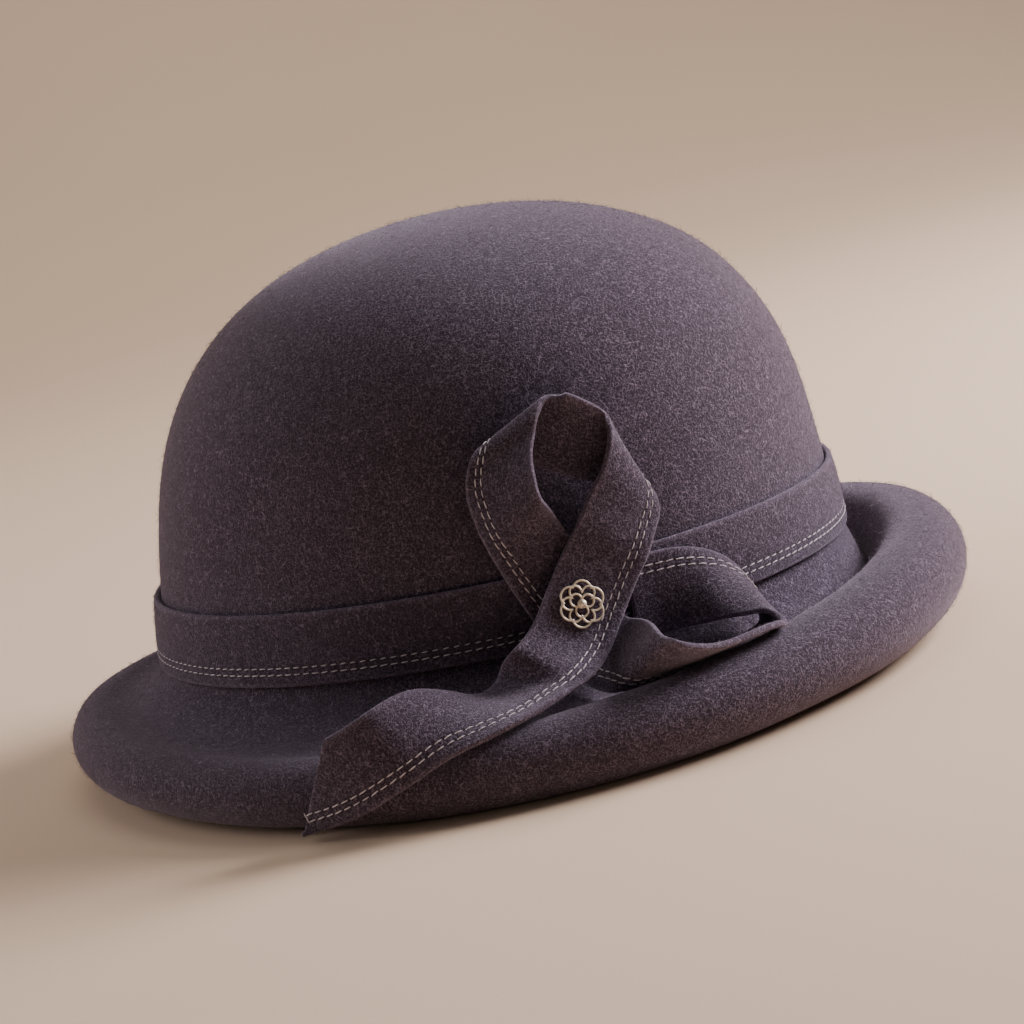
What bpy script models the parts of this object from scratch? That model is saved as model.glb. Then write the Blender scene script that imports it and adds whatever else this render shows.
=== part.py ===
"""Cloche hat of plum-grey wool felt, with a rolled brim, a felt band and a looped felt strip with a pin.

Metres, +Z up. The hat rests level on the underside of its brim at z = 0. Its front is +X and the bow is on
its right side, at -Y. The origin is below the middle of the whole hat, on the surface it rests on.
"""
import math

import bmesh
import bpy
from mathutils import Quaternion, Vector

UP = Vector((0.0, 0.0, 1.0))

# the felt and the air between two pieces
FELT = 0.0024
TRIM_FELT = 0.0018
GAP = 0.0003

# the crown, measured outside and at the band's foot
CROWN_HALF_LENGTH = 0.1012
CROWN_HALF_WIDTH = 0.085
CROWN_HEIGHT = 0.111
CROWN_FORWARD = 0.004
CROWN_LEAN = 0.0053
CROWN_TAPER = 0.122
CROWN_FULLNESS = 3.95
BAND_FOOT = 0.0295

# the brim's outline and its roll
BRIM_FRONT = 0.139
BRIM_BACK = 0.1284
BRIM_RIGHT = 0.1267
BRIM_LEFT = 0.1158
ROLL_RADIUS = 0.010
BRIM_LIFT = 0.004

# the band and the strip of the bow
BAND_WIDTH = 0.0198
BAND_SWELL = 0.0003
STRIP_WIDTH = 0.0215
BOW_PLACE = math.radians(-82.0)
CUT_SLANT = 0.0185

# the pin
PIN_RADIUS = 0.0066
PIN_WIRE = 0.0004
PIN_LIFT = 0.0007
PIN_ROW = 36
PIN_BEYOND = 0.001
PIN_SHARE = 0.55
PIN_TURN = math.radians(12.0)
POST_RADIUS = 0.0005
POST_HOLE = 0.0010

# places along the hat's section, below the band's foot at 0
SHOULDER = -0.7
ROLL_TOP = -1.0
ROLL_SIDE = -2.0

# how fine the faceted pieces are
COLUMNS = 60
CROWN_ROWS = 13
FLARE_ROWS = 5
ROLL_PLACES = (-0.7, -0.85, -1.0, -1.32, -1.64, -1.96, -2.28, -2.6, -2.9, -3.1, -3.4, -3.67)
STRIP_STATIONS = 160

# Section of the brim at three sides. roll is the radius as a share of ROLL_RADIUS, lift the height of its
# underside as a share of BRIM_LIFT, shoulder the angle where the flare runs into it, and drop, rise and bulge
# shape the flare, as shares of ROLL_RADIUS.
BRIM = {
    "front": {"roll": 1.31, "lift": 0.85, "shoulder": 158.0, "drop": 0.90, "rise": 1.0, "bulge": 0.45},
    "side": {"roll": 0.99, "lift": -0.15, "shoulder": 120.0, "drop": 0.75, "rise": 0.8, "bulge": 0.15},
    "back": {"roll": 0.87, "lift": 1.10, "shoulder": 108.0, "drop": 0.90, "rise": 1.1, "bulge": 0.30},
}

# The strip's stitched edge, row by row from its hidden end to its cut tip. around, climb and off are places on
# the hat in strip widths: around from the bow's place towards the front, climb above the band's foot (below it
# the section's own places), and off the surface. turn and lean give the direction across the strip in
# degrees: from straight up towards the front, and then outwards.
STRIP_COLUMNS = ("around", "climb", "off", "turn", "lean")
SIDE_LOOP = (
    (0.84, 0.84, 0.17, -174, 12),
    (1.18, 0.83, 0.19, -177, 14),
    (1.53, 0.79, 0.22, -176, 24),
    (1.82, 0.69, 0.24, -177, 39),
    (2.10, 0.51, 0.25, -176, 54),
    (2.32, 0.24, 0.25, -175, 72),
    (2.42, -0.10, 0.25, -173, 89),
    (2.36, -0.30, 0.22, 20, 80),
    (2.08, -0.38, 0.18, 34, 70),
    (1.70, -0.41, 0.165, 40, 66),
    (1.34, -0.45, 0.15, 40, 64),
    (1.00, -0.52, 0.13, 36, 58),
    (0.68, -0.59, 0.11, 31, 47),
    (0.36, -0.59, 0.10, 40, 25),
    (0.16, -0.43, 0.12, 47, -19),
    (-0.02, -0.28, 0.15, 48, -15),
)
UPRIGHT_LOOP = (
    (-0.30, 0.12, 0.20, 50, -3),
    (-0.52, 0.58, 0.23, 51, -2),
    (-0.69, 0.98, 0.26, 49, 10),
    (-0.82, 1.34, 0.30, 52, 26),
    (-0.91, 1.66, 0.30, 58, 26),
    (-0.96, 1.96, 0.30, 63, 20),
    (-0.93, 2.20, 0.32, 67, 13),
    (-0.84, 2.38, 0.32, 66, 11),
    (-0.73, 2.46, 0.24, 62, 11),
    (-0.58, 2.43, 0.16, 56, 11),
    (-0.36, 2.32, 0.12, 48, 12),
    (0.02, 2.13, 0.11, 29, 12),
    (0.43, 1.92, 0.11, 15, 9),
    (0.86, 1.73, 0.15, 1, 6),
    (1.20, 1.61, 0.22, -15, 8),
    (1.33, 1.49, 0.28, -27, 13),
    (1.33, 1.30, 0.33, -38, 13),
    (1.20, 1.09, 0.38, -46, 9),
    (1.05, 0.86, 0.43, -51, 5),
)
FRONT_AND_TAIL = (
    (0.84, 0.58, 0.43, -55, 1),
    (0.58, 0.21, 0.48, -57, -2),
    (0.32, -0.16, 0.51, -57, -4),
    (0.09, -0.45, 0.46, -61, -16),
    (-0.16, -0.79, 0.22, -75, -46),
    (-0.40, -1.05, 0.13, -77, -55),
    (-0.66, -1.25, 0.13, -61, -62),
    (-0.96, -1.40, 0.13, -32, -58),
    (-1.30, -1.55, 0.12, -21, -38),
    (-1.74, -1.85, 0.14, -15, -16),
    (-2.26, -2.16, 0.17, -12, -11),
    (-2.88, -2.42, 0.18, -15, -12),
)

# The pin's closed wire loops: petals, the radius at a petal's peak and between two petals as shares of
# PIN_RADIUS, and the turn in degrees.
ROSETTE = (
    {"petals": 6, "peak": 0.93, "dip": 0.72, "turn": 0.0},
    {"petals": 6, "peak": 0.79, "dip": 0.44, "turn": 30.0},
    {"petals": 3, "peak": 0.52, "dip": 0.16, "turn": 0.0},
)


def around_mix(column, theta):
    """Value of one column of BRIM at an angle around the hat, smooth through front, side and back."""
    front, side, back = (BRIM[name][column] for name in ("front", "side", "back"))
    level = (front + back + 2.0 * side) / 4.0
    first = (front - back) / 2.0
    second = (front + back - 2.0 * side) / 4.0
    return level + first * math.cos(theta) + second * math.cos(2.0 * theta)


def crown_point(theta, rise):
    """Point on the crown's outside; rise is 0 at the band's foot and 1 at the top."""
    share = (1.0 - CROWN_TAPER * rise) * math.sqrt(max(0.0, 1.0 - max(0.0, rise) ** CROWN_FULLNESS))
    return Vector((
        CROWN_FORWARD + CROWN_LEAN * rise + CROWN_HALF_LENGTH * share * math.cos(theta),
        CROWN_HALF_WIDTH * share * math.sin(theta),
        BAND_FOOT + CROWN_HEIGHT * rise,
    ))


def roll_frame(theta):
    """Centre of the brim's roll, the direction out of the hat and the roll's radius."""
    length = BRIM_FRONT if math.cos(theta) > 0.0 else BRIM_BACK
    width = BRIM_LEFT if math.sin(theta) > 0.0 else BRIM_RIGHT
    rim = Vector((length * math.cos(theta), width * math.sin(theta), 0.0))
    out = Vector((math.cos(theta) / length, math.sin(theta) / width, 0.0)).normalized()
    radius = ROLL_RADIUS * around_mix("roll", theta)
    centre = rim - radius * out
    centre.z = BRIM_LIFT * around_mix("lift", theta) + radius
    return centre, out, radius


def roll_point(theta, degrees):
    """Point on the roll: 0 degrees is its outer side and 90 its top."""
    centre, out, radius = roll_frame(theta)
    angle = math.radians(degrees)
    return centre + radius * (math.cos(angle) * out + math.sin(angle) * UP)


def flare_point(theta, share):
    """Point on the flare between the crown's foot and the roll's shoulder."""
    out = roll_frame(theta)[1]
    radius = roll_frame(theta)[2]
    shoulder = around_mix("shoulder", theta)
    angle = math.radians(shoulder)
    heading = math.sin(angle) * out - math.cos(angle) * UP
    start = crown_point(theta, 0.0)
    end = roll_point(theta, shoulder)
    below = ROLL_RADIUS * (around_mix("bulge", theta) * out - around_mix("drop", theta) * UP)
    before = radius * around_mix("rise", theta) * heading
    rest = 1.0 - share
    return (rest ** 3 * start + 3.0 * rest ** 2 * share * (start + below)
            + 3.0 * rest * share ** 2 * (end - before) + share ** 3 * end)


def hat_point(theta, climb):
    """Point on the hat's outside by its angle and its place along the section."""
    if climb >= 0.0:
        return crown_point(theta, min(1.0, climb * STRIP_WIDTH / CROWN_HEIGHT))
    if climb >= SHOULDER:
        return flare_point(theta, climb / SHOULDER)
    if climb >= ROLL_TOP:
        shoulder = around_mix("shoulder", theta)
        share = (climb - SHOULDER) / (ROLL_TOP - SHOULDER)
        return roll_point(theta, shoulder + (90.0 - shoulder) * share)
    return roll_point(theta, 90.0 * (climb - ROLL_SIDE))


def hat_normal(theta, climb, step):
    """Direction out of the hat's outside, over a small step along the section."""
    top = min(climb + step, CROWN_HEIGHT / STRIP_WIDTH * 0.9999)
    along = hat_point(theta + 0.002, climb) - hat_point(theta - 0.002, climb)
    side = hat_point(theta, top) - hat_point(theta, climb - step)
    return along.cross(side).normalized()


def even_places(start, end, rows):
    """Places along the section from start to end, evenly spaced on the hat's right side."""
    fine = [start + (end - start) * index / 400.0 for index in range(401)]
    lengths = [0.0]
    for before, after in zip(fine, fine[1:]):
        step = hat_point(BOW_PLACE, after) - hat_point(BOW_PLACE, before)
        lengths.append(lengths[-1] + step.length)
    places = []
    for row in range(rows + 1):
        wanted = lengths[-1] * row / rows
        index = min(range(401), key=lambda item: abs(lengths[item] - wanted))
        places.append(fine[index])
    return places


def mesh_object(name, points, faces, material):
    """Object from points and faces, its faces turned outwards."""
    mesh = bpy.data.meshes.new(name)
    mesh.from_pydata(points, [], faces)
    mesh.update()
    work = bmesh.new()
    work.from_mesh(mesh)
    bmesh.ops.recalc_face_normals(work, faces=work.faces)
    work.to_mesh(mesh)
    work.free()
    mesh.shade_smooth()
    mesh.set_sharp_from_angle(angle=math.radians(40.0))
    mesh.materials.append(material)
    piece = bpy.data.objects.new(name, mesh)
    bpy.context.scene.collection.objects.link(piece)
    return piece


def make_material(name, colour, roughness, metallic):
    """Plain Principled material."""
    material = bpy.data.materials.new(name)
    material.use_nodes = True
    shader = material.node_tree.nodes["Principled BSDF"]
    shader.inputs["Base Color"].default_value = (*colour, 1.0)
    shader.inputs["Roughness"].default_value = roughness
    shader.inputs["Metallic"].default_value = metallic
    return material


def ring_faces(rows, columns):
    """Quads between closed rings of points, one ring after another."""
    faces = []
    for row in range(rows - 1):
        for column in range(columns):
            after = (column + 1) % columns
            faces.append((row * columns + column, row * columns + after,
                          (row + 1) * columns + after, (row + 1) * columns + column))
    return faces


def build_body(material):
    """Crown, flare and rolled brim: one sheet of felt, open below."""
    crown_top = CROWN_HEIGHT / STRIP_WIDTH
    places = even_places(crown_top, 0.0, CROWN_ROWS)[1:-1]
    places += even_places(0.0, SHOULDER, FLARE_ROWS)[:-1]
    places += ROLL_PLACES
    angles = [2.0 * math.pi * column / COLUMNS for column in range(COLUMNS)]
    outside = []
    inside = []
    for place in places:
        outer_ring = []
        inner_ring = []
        for theta in angles:
            point = hat_point(theta, place)
            inner = point - FELT * hat_normal(theta, place, 0.06)
            point.z = max(0.0, point.z)
            inner.z = max(FELT, inner.z) if place < ROLL_SIDE else inner.z
            outer_ring.append(point)
            inner_ring.append(inner)
        outside.append(outer_ring)
        inside.append(inner_ring)
    rings = outside + inside[::-1]
    points = [point for ring in rings for point in ring]
    faces = ring_faces(len(rings), COLUMNS)
    top = crown_point(0.0, 1.0)
    points.append(top)
    points.append(top - FELT * UP)
    last = (len(rings) - 1) * COLUMNS
    for column in range(COLUMNS):
        after = (column + 1) % COLUMNS
        faces.append((len(points) - 2, after, column))
        faces.append((len(points) - 1, last + column, last + after))
    return mesh_object("felt_body", points, faces, material)


def build_band(material):
    """Band around the crown's foot: a closed ring of felt, slightly full across its outside."""
    width = BAND_WIDTH / CROWN_HEIGHT
    section = (
        (0.0, GAP),
        (0.0, GAP + TRIM_FELT),
        (0.5, GAP + TRIM_FELT + BAND_SWELL),
        (1.0, GAP + TRIM_FELT),
        (1.0, GAP),
    )
    points = []
    faces = []
    for column in range(COLUMNS):
        theta = 2.0 * math.pi * column / COLUMNS
        for share, off in section:
            along = crown_point(theta + 0.002, share * width) - crown_point(theta - 0.002, share * width)
            rise = crown_point(theta, share * width + 0.01) - crown_point(theta, share * width - 0.01)
            points.append(crown_point(theta, share * width) + off * along.cross(rise).normalized())
    for column in range(COLUMNS):
        after = (column + 1) % COLUMNS
        for corner in range(5):
            beside = (corner + 1) % 5
            faces.append((column * 5 + corner, after * 5 + corner, after * 5 + beside, column * 5 + beside))
    return mesh_object("band", points, faces, material)


def strip_place(row):
    """Point of the stitched edge and direction across the strip for one row of the tables."""
    values = dict(zip(STRIP_COLUMNS, row))
    rate = (crown_point(BOW_PLACE + 0.0001, 0.0) - crown_point(BOW_PLACE - 0.0001, 0.0)).length / 0.0002
    theta = BOW_PLACE + values["around"] * STRIP_WIDTH / rate
    climb = values["climb"]
    if climb >= 0.0:
        stand = hat_normal(theta, climb, 0.001)
    elif climb > ROLL_TOP:
        stand = ((1.0 + climb) * hat_normal(theta, 0.001, 0.0005) - climb * UP).normalized()
    else:
        angle = math.radians(90.0 * (climb - ROLL_SIDE))
        stand = math.cos(angle) * roll_frame(theta)[1] + math.sin(angle) * UP
    edge = hat_point(theta, climb) + values["off"] * STRIP_WIDTH * stand
    out = roll_frame(BOW_PLACE)[1]
    front = Vector((-out.y, out.x, 0.0))
    turn = math.radians(values["turn"])
    lean = math.radians(values["lean"])
    across = math.cos(lean) * (math.cos(turn) * UP + math.sin(turn) * front) + math.sin(lean) * out
    return edge, across


def hermite(knots, values, position):
    """Smooth curve through values at knots."""
    last = len(knots) - 1
    index = min(max(sum(1 for knot in knots if knot <= position) - 1, 0), last - 1)

    def slope(item):
        low = max(item - 1, 0)
        high = min(item + 1, last)
        if low == item or high == item:
            return (values[high] - values[low]) / (knots[high] - knots[low])
        before = (values[item] - values[low]) / (knots[item] - knots[low])
        after = (values[high] - values[item]) / (knots[high] - knots[item])
        left = knots[item] - knots[low]
        right = knots[high] - knots[item]
        return (before * right + after * left) / (left + right)

    span = knots[index + 1] - knots[index]
    share = (position - knots[index]) / span
    return ((2.0 * share ** 3 - 3.0 * share ** 2 + 1.0) * values[index]
            + (share ** 3 - 2.0 * share ** 2 + share) * span * slope(index)
            + (3.0 * share ** 2 - 2.0 * share ** 3) * values[index + 1]
            + (share ** 3 - share ** 2) * span * slope(index + 1))


class Strip:
    """The bow's strip as a surface: length along the stitched edge, and share across the width."""

    def __init__(self):
        rows = [strip_place(row) for row in SIDE_LOOP + UPRIGHT_LOOP + FRONT_AND_TAIL]
        self.edges = [edge for edge, across in rows]
        self.acrosses = [across for edge, across in rows]
        self.knots = [0.0]
        for before, after in zip(self.edges, self.edges[1:]):
            self.knots.append(self.knots[-1] + (after - before).length)
        self.length = self.knots[-1]

    def frame(self, place):
        """Edge point, direction across, and normal of the outer face at a length along the strip."""
        place = min(max(place, 0.0), self.length)
        edge = hermite(self.knots, self.edges, place)
        across = hermite(self.knots, self.acrosses, place).normalized()
        low = max(place - 0.0015, 0.0)
        high = min(place + 0.0015, self.length)
        middle = 0.5 * STRIP_WIDTH
        ahead = hermite(self.knots, self.edges, high) + middle * hermite(self.knots, self.acrosses, high).normalized()
        behind = hermite(self.knots, self.edges, low) + middle * hermite(self.knots, self.acrosses, low).normalized()
        normal = across.cross(ahead - behind).normalized()
        return edge, across, normal

    def width_at(self, place):
        """Width left by the slanted cut of the tail."""
        left = (self.length - place) / CUT_SLANT
        return STRIP_WIDTH * min(1.0, max(0.06, left))

    def point(self, place, share, off):
        """Point on the strip or off its outer face."""
        edge, across, normal = self.frame(place)
        return edge + self.width_at(place) * share * across + off * normal


def pin_hole(strip):
    """Round cutter through the strip, for the pin's post."""
    place = strip.knots[PIN_ROW] + PIN_BEYOND
    edge, across, normal = strip.frame(place)
    mesh = bpy.data.meshes.new("pin_hole")
    work = bmesh.new()
    bmesh.ops.create_cone(work, cap_ends=True, segments=12, radius1=POST_HOLE, radius2=POST_HOLE, depth=0.004)
    work.to_mesh(mesh)
    work.free()
    cutter = bpy.data.objects.new("pin_hole", mesh)
    bpy.context.scene.collection.objects.link(cutter)
    cutter.rotation_euler = normal.to_track_quat("Z", "Y").to_euler()
    cutter.location = strip.point(place, PIN_SHARE, 0.0)
    cutter.hide_render = True
    cutter.display_type = "WIRE"
    return cutter


def build_strip(strip, material):
    """Felt strip of the bow: two loops, the front strip and the tail, all of one length."""
    points = []
    faces = []
    half = 0.5 * TRIM_FELT
    for station in range(STRIP_STATIONS + 1):
        place = strip.length * station / STRIP_STATIONS
        for share, off in ((0.0, half), (1.0, half), (1.0, -half), (0.0, -half)):
            points.append(strip.point(place, share, off))
    for station in range(STRIP_STATIONS):
        for corner in range(4):
            beside = (corner + 1) % 4
            faces.append((station * 4 + corner, station * 4 + beside,
                          station * 4 + 4 + beside, station * 4 + 4 + corner))
    faces.append((3, 2, 1, 0))
    end = STRIP_STATIONS * 4
    faces.append((end, end + 1, end + 2, end + 3))
    piece = mesh_object("bow_ribbon", points, faces, material)
    cut = piece.modifiers.new("pin hole", "BOOLEAN")
    cut.operation = "DIFFERENCE"
    cut.solver = "EXACT"
    cut.object = pin_hole(strip)
    return piece


def wire_loop(work, loop, stations):
    """Closed scalloped loop of round wire in the pin's own plane."""
    centres = []
    for station in range(stations):
        angle = 2.0 * math.pi * station / stations
        swell = abs(math.cos(0.5 * loop["petals"] * angle)) ** 0.7
        radius = PIN_RADIUS * (loop["dip"] + (loop["peak"] - loop["dip"]) * swell)
        turned = angle + math.radians(loop["turn"])
        centres.append(Vector((radius * math.cos(turned), radius * math.sin(turned), 0.0)))
    rings = []
    for station, centre in enumerate(centres):
        heading = (centres[(station + 1) % stations] - centres[station - 1]).normalized()
        side = heading.cross(UP)
        ring = []
        for corner in range(6):
            angle = math.pi * (2 * corner + 1) / 6.0
            ring.append(work.verts.new(centre + PIN_WIRE * (math.cos(angle) * side + math.sin(angle) * UP)))
        rings.append(ring)
    for station in range(stations):
        after = rings[(station + 1) % stations]
        for corner in range(6):
            beside = (corner + 1) % 6
            work.faces.new((rings[station][corner], rings[station][beside], after[beside], after[corner]))


def pin_part(name, fill, material):
    """Object of one part of the pin, filled by a function that draws into a bmesh."""
    mesh = bpy.data.meshes.new(name)
    work = bmesh.new()
    fill(work)
    bmesh.ops.recalc_face_normals(work, faces=work.faces)
    work.to_mesh(mesh)
    work.free()
    mesh.materials.append(material)
    piece = bpy.data.objects.new(name, mesh)
    bpy.context.scene.collection.objects.link(piece)
    return piece


def build_pin(strip, material):
    """Rosette of wire loops on a short post through the front strip."""

    def bead(work):
        bmesh.ops.create_uvsphere(work, u_segments=12, v_segments=8, radius=0.0013)

    def post(work):
        bmesh.ops.create_cone(work, cap_ends=True, segments=10, radius1=POST_RADIUS, radius2=POST_RADIUS, depth=0.0024)
        bmesh.ops.translate(work, verts=work.verts, vec=(0.0, 0.0, -0.0012))

    place = strip.knots[PIN_ROW] + PIN_BEYOND
    normal = strip.frame(place)[2]
    across = strip.frame(place)[1]
    piece = pin_part("rose_pin", lambda work: wire_loop(work, ROSETTE[0], 48), material)
    parts = [
        pin_part("pin_middle_loop", lambda work: wire_loop(work, ROSETTE[1], 48), material),
        pin_part("pin_inner_loop", lambda work: wire_loop(work, ROSETTE[2], 36), material),
        pin_part("pin_bead", bead, material),
        pin_part("pin_post", post, material),
    ]
    side = across.cross(normal).normalized()
    turned = math.cos(PIN_TURN) * across + math.sin(PIN_TURN) * side
    quaternion = normal.to_track_quat("Z", "Y")
    flat = quaternion.inverted() @ turned
    spin = math.atan2(flat.y, flat.x)
    lift = 0.5 * TRIM_FELT + PIN_LIFT + PIN_WIRE
    for part in [piece] + parts:
        part.rotation_mode = "QUATERNION"
        part.rotation_quaternion = quaternion @ Quaternion((0.0, 0.0, 1.0), spin)
        part.location = strip.point(place, PIN_SHARE, lift)
    for part in parts:
        part.hide_render = True
        part.display_type = "WIRE"
        union = piece.modifiers.new(part.name, "BOOLEAN")
        union.operation = "UNION"
        union.solver = "EXACT"
        union.object = part
    return piece, parts


def main():
    """Clear the scene, build the four pieces and set the origin below the middle of the hat."""
    for piece in list(bpy.data.objects):
        bpy.data.objects.remove(piece, do_unlink=True)
    felt = make_material("plum felt", (0.055, 0.043, 0.052), 0.95, 0.0)
    trim = make_material("plum felt trim", (0.052, 0.041, 0.050), 0.95, 0.0)
    gold = make_material("pale gold", (0.83, 0.66, 0.45), 0.30, 1.0)
    strip = Strip()
    body = build_body(felt)
    band = build_band(trim)
    ribbon = build_strip(strip, trim)
    pin, parts = build_pin(strip, gold)
    corners = [vertex.co for piece in (body, ribbon) for vertex in piece.data.vertices]
    middle_x = 0.5 * (min(point.x for point in corners) + max(point.x for point in corners))
    middle_y = 0.5 * (min(point.y for point in corners) + max(point.y for point in corners))
    hat = bpy.data.objects.new("hat", None)
    bpy.context.scene.collection.objects.link(hat)
    hat.location = (-middle_x, -middle_y, 0.0)
    cutters = [modifier.object for modifier in ribbon.modifiers]
    for piece in [body, band, ribbon, pin] + parts + cutters:
        piece.parent = hat


main()
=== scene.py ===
"""Looks of a plum-grey wool felt cloche hat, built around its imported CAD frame.

Metres, in the frame of the CAD: the hat's front is +X and its bow is on the side of -Y. The fine felt pieces
follow the same rules as the solids that they stand for, and stitches and pile are laid over them.
"""
from __future__ import annotations

import logging
import math
from dataclasses import dataclass, field
from enum import Enum
from typing import Any, Sequence

import bpy
import numpy as np
from mathutils import Matrix, Vector

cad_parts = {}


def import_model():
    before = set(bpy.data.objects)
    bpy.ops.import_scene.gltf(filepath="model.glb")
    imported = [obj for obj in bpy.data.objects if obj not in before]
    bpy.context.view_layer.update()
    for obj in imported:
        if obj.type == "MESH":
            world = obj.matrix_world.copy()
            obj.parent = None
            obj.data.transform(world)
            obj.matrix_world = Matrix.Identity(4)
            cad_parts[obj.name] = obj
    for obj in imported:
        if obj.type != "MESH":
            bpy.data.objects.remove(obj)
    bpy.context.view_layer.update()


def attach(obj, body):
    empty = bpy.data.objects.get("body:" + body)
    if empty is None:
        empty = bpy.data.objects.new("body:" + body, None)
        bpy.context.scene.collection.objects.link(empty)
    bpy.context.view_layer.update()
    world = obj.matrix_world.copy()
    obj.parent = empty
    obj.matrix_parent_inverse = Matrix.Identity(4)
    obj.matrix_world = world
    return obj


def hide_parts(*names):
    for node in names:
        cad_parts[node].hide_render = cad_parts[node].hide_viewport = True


LOG = logging.getLogger("cloche_hat")
BODY = "root"
BAKE_MAP = "OFBake"
UP = np.array((0.0, 0.0, 1.0))
SEAM_INSETS = (0.0013, 0.0020, 0.0026, 0.0030, 0.0034, 0.0038, 0.0043, 0.0048, 0.0052, 0.0056, 0.0061)
Colour = tuple[float, float, float]


class Slot(Enum):
    """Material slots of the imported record."""

    BODY_FELT = "body_felt"
    TRIM_FELT = "trim_felt"
    PIN_METAL = "pin_metal"


def unit(vectors: np.ndarray) -> np.ndarray:
    """Vectors at length one.

    Args:
        vectors: array whose last axis holds x, y and z.

    Returns:
        An array of the same shape.
    """
    return vectors / np.linalg.norm(vectors, axis=-1, keepdims=True)


def new_mesh(name: str, points: Any, faces: Any, edges: Any = ()) -> bpy.types.Mesh:
    """Make a mesh from plain lists.

    Args:
        name: name of the mesh.
        points: its corners.
        faces: its faces, as numbers of corners.
        edges: edges that belong to no face.

    Returns:
        The mesh.
    """
    mesh = bpy.data.meshes.new(name)
    mesh.from_pydata(points, edges, faces)
    mesh.update()
    return mesh


def whole_numbers(items: Any, name: str) -> np.ndarray:
    """One whole number of every item of a mesh."""
    values = np.empty(len(items), np.int32)
    items.foreach_get(name, values)
    return values


def linked(name: str, data: Any) -> bpy.types.Object:
    """Object of the data, linked to the scene."""
    made = bpy.data.objects.new(name, data)
    bpy.context.scene.collection.objects.link(made)
    return made


def carry(piece: bpy.types.Object, stands_for: str | None = None) -> bpy.types.Object:
    """Let a piece ride on the hat.

    Args:
        piece: the finished piece.
        stands_for: the CAD node that it replaces, if any.

    Returns:
        The same piece.
    """
    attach(piece, BODY)
    if stands_for:
        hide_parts(stands_for)
    return piece


def tube_faces(rings: int, sides: int, closed: bool = False) -> list[tuple[int, ...]]:
    """Faces between rings of points.

    Args:
        rings: number of rings.
        sides: points in each.
        closed: whether the last ring joins the first.

    Returns:
        One face for each side of each stretch.
    """
    faces = []
    for ring in range(rings if closed else rings - 1):
        low, high = ring * sides, (ring + 1) % rings * sides
        for side in range(sides):
            after = (side + 1) % sides
            faces.append((low + side, high + side, high + after, low + after))
    return faces


def arc_points(first: float, last: float) -> list[tuple[float, float]]:
    """Five cosines and sines from one angle to another, in degrees."""
    angles = [math.radians(first + (last - first) * step / 4.0) for step in range(5)]
    return [(math.cos(angle), math.sin(angle)) for angle in angles]


class Signal:
    """A number that changes over a surface. Operators on it add Math nodes."""

    def __init__(self, bench: "NodeBench", socket: bpy.types.NodeSocket) -> None:
        """Wrap one output socket of a tree."""
        self.bench = bench
        self.socket = socket

    def math(self, operation: str, *others: Any, swapped: bool = False) -> "Signal":
        """Add one Math node.

        Args:
            operation: name of the Math node's operation.
            others: further numbers or signals.
            swapped: whether this signal is the second operand.

        Returns:
            The node's result.
        """
        operands = [self, *others]
        if swapped:
            operands.reverse()
        sockets = {index: operand for index, operand in enumerate(operands)}
        made = self.bench.node("ShaderNodeMath", {"operation": operation}, sockets)
        return Signal(self.bench, made.outputs[0])

    def __add__(self, other: Any) -> "Signal":
        """Sum."""
        return self.math("ADD", other)

    __radd__ = __add__

    def __sub__(self, other: Any) -> "Signal":
        """Difference."""
        return self.math("SUBTRACT", other)

    def __rsub__(self, other: Any) -> "Signal":
        """Difference from a number."""
        return self.math("SUBTRACT", other, swapped=True)

    def __mul__(self, other: Any) -> "Signal":
        """Product."""
        return self.math("MULTIPLY", other)

    __rmul__ = __mul__

    def within(self, low: float = 0.0, high: float = 1.0) -> "Signal":
        """Signal held between two numbers."""
        return self.math("MAXIMUM", low).math("MINIMUM", high)


class NodeBench:
    """Adds and joins the nodes of one tree."""

    def __init__(self, tree: bpy.types.NodeTree) -> None:
        """Start with the nodes that the tree already has."""
        self.tree = tree

    def node(self, kind: str, settings: dict[str, Any] | None = None,
             sockets: dict[Any, Any] | None = None) -> bpy.types.Node:
        """Add one node.

        Args:
            kind: Blender's name of the node's type.
            settings: properties, which are set before the sockets.
            sockets: values or links by the socket's identifier, name or number.

        Returns:
            The new node.
        """
        made = self.tree.nodes.new(kind)
        for name, value in (settings or {}).items():
            setattr(made, name, value)
        for name, value in (sockets or {}).items():
            self.feed(self.find(made.inputs, name), value)
        return made

    @staticmethod
    def find(sockets: Any, name: Any) -> bpy.types.NodeSocket:
        """Socket by its number, identifier or name."""
        if isinstance(name, int):
            return sockets[name]
        for socket in sockets:
            if socket.identifier == name:
                return socket
        return sockets[name]

    def feed(self, socket: bpy.types.NodeSocket, value: Any) -> None:
        """Give a socket a link or a fixed value.

        Args:
            socket: the input.
            value: signal, output socket or plain value.
        """
        if isinstance(value, Signal):
            self.tree.links.new(value.socket, socket)
        elif isinstance(value, bpy.types.NodeSocket):
            self.tree.links.new(value, socket)
        else:
            socket.default_value = value

    def chance(self, low: Any, high: Any, seed: Any) -> Signal:
        """Random number between two others, one for each point."""
        return self.signal("FunctionNodeRandomValue", {"data_type": "FLOAT"}, {
            "Min_001": low, "Max_001": high, "Seed": seed,
        }, "Value_001")

    def signal(self, kind: str, settings: dict[str, Any] | None, sockets: dict[Any, Any],
               output: Any = 0) -> Signal:
        """Add one node and wrap one of its outputs."""
        made = self.node(kind, settings, sockets)
        return Signal(self, self.find(made.outputs, output))


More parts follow.
